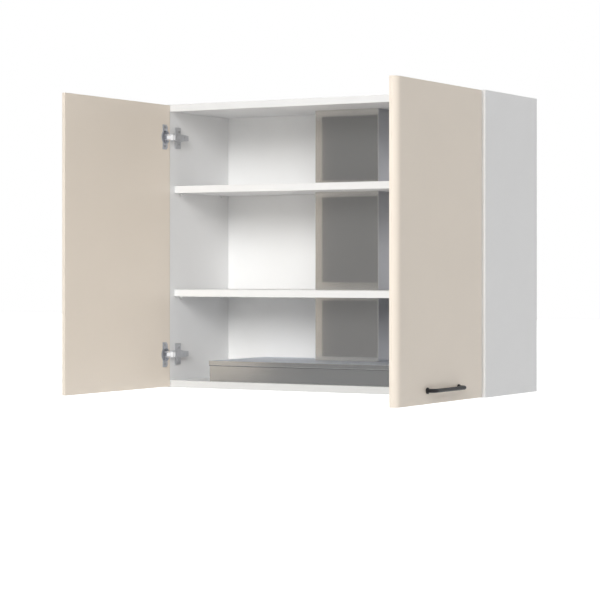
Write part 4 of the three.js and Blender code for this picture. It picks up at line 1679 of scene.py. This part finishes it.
@dataclass
class Studio:
    """The camera, the floor, the lamps and the world."""

    yaw: float = 30.0
    camera_place: tuple[float, float, float] = (2.5084, -4.7312, 0.3002)
    lens: float = 125.0
    sensor: float = 36.0
    shift: float = -0.051
    floor_height: float = -1.4
    floor_reach: float = 60.0
    floor_colour: str = "#e8e8e8"
    floor_glow: float = 0.6
    flag_size: tuple[float, float] = (3.0, 3.0)
    flag_distance: float = 2.6
    flag_shift: float = -0.3
    flag_heights: tuple[float, float] = (0.1, 0.9)
    flag_tones: tuple[float, float] = (0.19, 0.15)
    box_size: tuple[float, float] = (0.36, 0.9)
    box_place: tuple[float, float, float] = (0.3, -1.7, 0.5)
    box_turn: float = 15.0
    box_power: float = 3.1
    suns: tuple[SoftSun, ...] = (
        SoftSun("key_sun", 15, 20, 1.85, shines=False),
        SoftSun("key_right_sun", 40, 20, 0.4),
        SoftSun("left_sun", -90, 40, 1.9),
        SoftSun("right_sun", 90, 45, 0.4),
        SoftSun("back_left_sun", -135, 30, 0.6, shines=False),
        SoftSun("back_sun", 180, 30, 0.35, shines=False),
    )

    def make(self) -> None:
        """Makes the whole studio and sets the view transform."""
        scene = bpy.context.scene
        scene.view_settings.view_transform = "Standard"
        self.camera(scene)
        self.floor()
        self.world(scene)
        self.flag()
        for sun in self.suns:
            self.sun(sun)
        self.softbox()

    def camera(self, scene: bpy.types.Scene) -> None:
        """Sets the camera level, as the photograph's upright edges show.

        Args:
            scene: The scene that looks through it.
        """
        data = bpy.data.cameras.new("camera")
        data.lens = self.lens
        data.sensor_width = self.sensor
        data.sensor_fit = "HORIZONTAL"
        data.shift_y = self.shift
        data.clip_end = 200
        camera = placed("camera", data)
        camera.location = self.camera_place
        camera.rotation_euler = (math.pi / 2, 0, math.radians(self.yaw))
        scene.camera = camera

    def card(self, name: str, finish: str, corners: Sequence) -> tuple[Object, bpy.types.NodeTree]:
        """Makes a flat piece of the set, with an empty material.

        Args:
            name: The object's name.
            finish: The material's name.
            corners: Its four corners.

        Returns:
            The object, and its material's node tree.
        """
        mesh = bpy.data.meshes.new(name)
        mesh.from_pydata(corners, [], [[0, 1, 2, 3]])
        material = bpy.data.materials.new(finish)
        material.use_nodes = True
        material.node_tree.nodes.clear()
        mesh.materials.append(material)
        return placed(name, mesh), material.node_tree

    def floor(self) -> None:
        """Lays a pale floor below, white to the camera but for the shadow on it."""
        reach = self.floor_reach
        plan = rectangle((-reach, -reach), (reach, reach))
        corners = stacked([plan], [self.floor_height])[0].tolist()
        floor, tree = self.card("floor", "pale_studio_floor", corners)
        rays = add_node(tree, "ShaderNodeLightPath")
        facing = add_node(tree, "ShaderNodeNewGeometry")
        paint = add_node(tree, "ShaderNodeBsdfDiffuse", {"Color": linear(self.floor_colour)})
        seen = self.eye_and_mirror(tree, rays)
        values = {1: self.floor_glow}
        level = add_node(tree, "ShaderNodeMath", values, {0: seen}, operation="MULTIPLY")
        glow = add_node(tree, "ShaderNodeEmission", {}, {"Strength": level.outputs[0]})
        lit = add_node(tree, "ShaderNodeAddShader", {}, {0: paint.outputs[0], 1: glow.outputs[0]})
        clear = add_node(tree, "ShaderNodeBsdfTransparent")
        links = {0: rays.outputs["Is Camera Ray"], 1: facing.outputs["Backfacing"]}
        below = add_node(tree, "ShaderNodeMath", {}, links, operation="MULTIPLY")
        links = {0: below.outputs[0], 1: lit.outputs[0], 2: clear.outputs[0]}
        both = add_node(tree, "ShaderNodeMixShader", {}, links)
        add_node(tree, "ShaderNodeOutputMaterial", {}, {"Surface": both.outputs[0]})

    def world(self, scene: bpy.types.Scene) -> None:
        """Shows white to the eye and in metal and glass, and gives no diffuse light.

        Args:
            scene: The scene that gets it.
        """
        world = bpy.data.worlds.new("studio")
        world.use_nodes = True
        scene.world = world
        tree = world.node_tree
        tree.nodes.clear()
        seen = self.eye_and_mirror(tree, add_node(tree, "ShaderNodeLightPath"))
        white = add_node(tree, "ShaderNodeBackground", {"Color": (1, 1, 1, 1)}, {"Strength": seen})
        add_node(tree, "ShaderNodeOutputWorld", {}, {"Surface": white.outputs[0]})

    def eye_and_mirror(self, tree: bpy.types.NodeTree, rays: bpy.types.Node) -> Socket:
        """Gives 1 for what the camera, metal and glass see, and 0 for lighting.

        Args:
            tree: The node tree that gets the sum.
            rays: Its Light Path node.

        Returns:
            The value, 1 or 0.
        """
        seen = rays.outputs["Is Camera Ray"]
        for kind in ("Is Glossy Ray", "Is Transmission Ray"):
            links = {0: seen, 1: rays.outputs[kind]}
            seen = add_node(tree, "ShaderNodeMath", {}, links, operation="MAXIMUM").outputs[0]
        return seen

    def flag(self) -> None:
        """Stands a grey board front left, which only the steel's reflections see."""
        wide, tall = (length / 2 for length in self.flag_size)
        middle = sum(self.flag_heights) / 2
        yaw = math.radians(self.yaw)
        way = np.array([-math.sin(yaw), -math.cos(yaw)])
        across = np.array([way[1], -way[0]])
        centre = way * self.flag_distance + np.array([0, self.flag_shift])
        board = rectangle((-wide, -tall), (wide, tall)).tolist()
        corners = [(*(centre + x * across), middle + z) for x, z in board]
        flag, tree = self.card("grey_flag", "grey_flag_cloth", corners)
        for ray in ("camera", "diffuse", "transmission", "volume_scatter", "shadow"):
            setattr(flag, f"visible_{ray}", False)
        place = add_node(tree, "ShaderNodeTexCoord").outputs["Object"]
        height = add_node(tree, "ShaderNodeSeparateXYZ", {}, {"Vector": place})
        names = ("From Min", "From Max", "To Min", "To Max")
        values = dict(zip(names, (*self.flag_heights, *self.flag_tones)))
        tone = add_node(tree, "ShaderNodeMapRange", values, {"Value": height.outputs["Z"]})
        glow = add_node(tree, "ShaderNodeEmission", {}, {"Strength": tone.outputs["Result"]})
        add_node(tree, "ShaderNodeOutputMaterial", {}, {"Surface": glow.outputs[0]})

    def softbox(self) -> None:
        """Hangs a soft lamp in front of the opening, unseen by the camera and in reflections, to
        light the inside.
        """
        data = bpy.data.lights.new("front_softbox", "AREA")
        data.shape = "RECTANGLE"
        data.size, data.size_y = self.box_size
        data.energy = self.box_power
        lamp = placed("front_softbox", data)
        lamp.location = self.box_place
        lamp.rotation_euler = (math.pi / 2, 0, math.radians(self.box_turn))
        lamp.visible_camera = lamp.visible_glossy = False

    def sun(self, sun: SoftSun) -> None:
        """Sets one distant light, turned to the cabinet.

        Args:
            sun: What the light is called and where it stands.
        """
        data = bpy.data.lights.new(sun.name, "SUN")
        data.energy = sun.strength
        data.angle = math.radians(sun.spread)
        light = placed(sun.name, data)
        tilt = math.radians(90 - sun.elevation)
        light.rotation_euler = (tilt, 0, math.radians(sun.azimuth))
        light.visible_glossy = sun.shines


def main() -> None:
    """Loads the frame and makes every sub-assembly."""
    logging.basicConfig(level=logging.INFO, format="%(name)s %(message)s")
    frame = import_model()
    Studio().make()
    for kind in (Carcass, Doors, Hinges, Hood):
        LOG.info("making %s", kind.__name__)
        kind(frame).make()


if __name__ == "__main__":
    main()
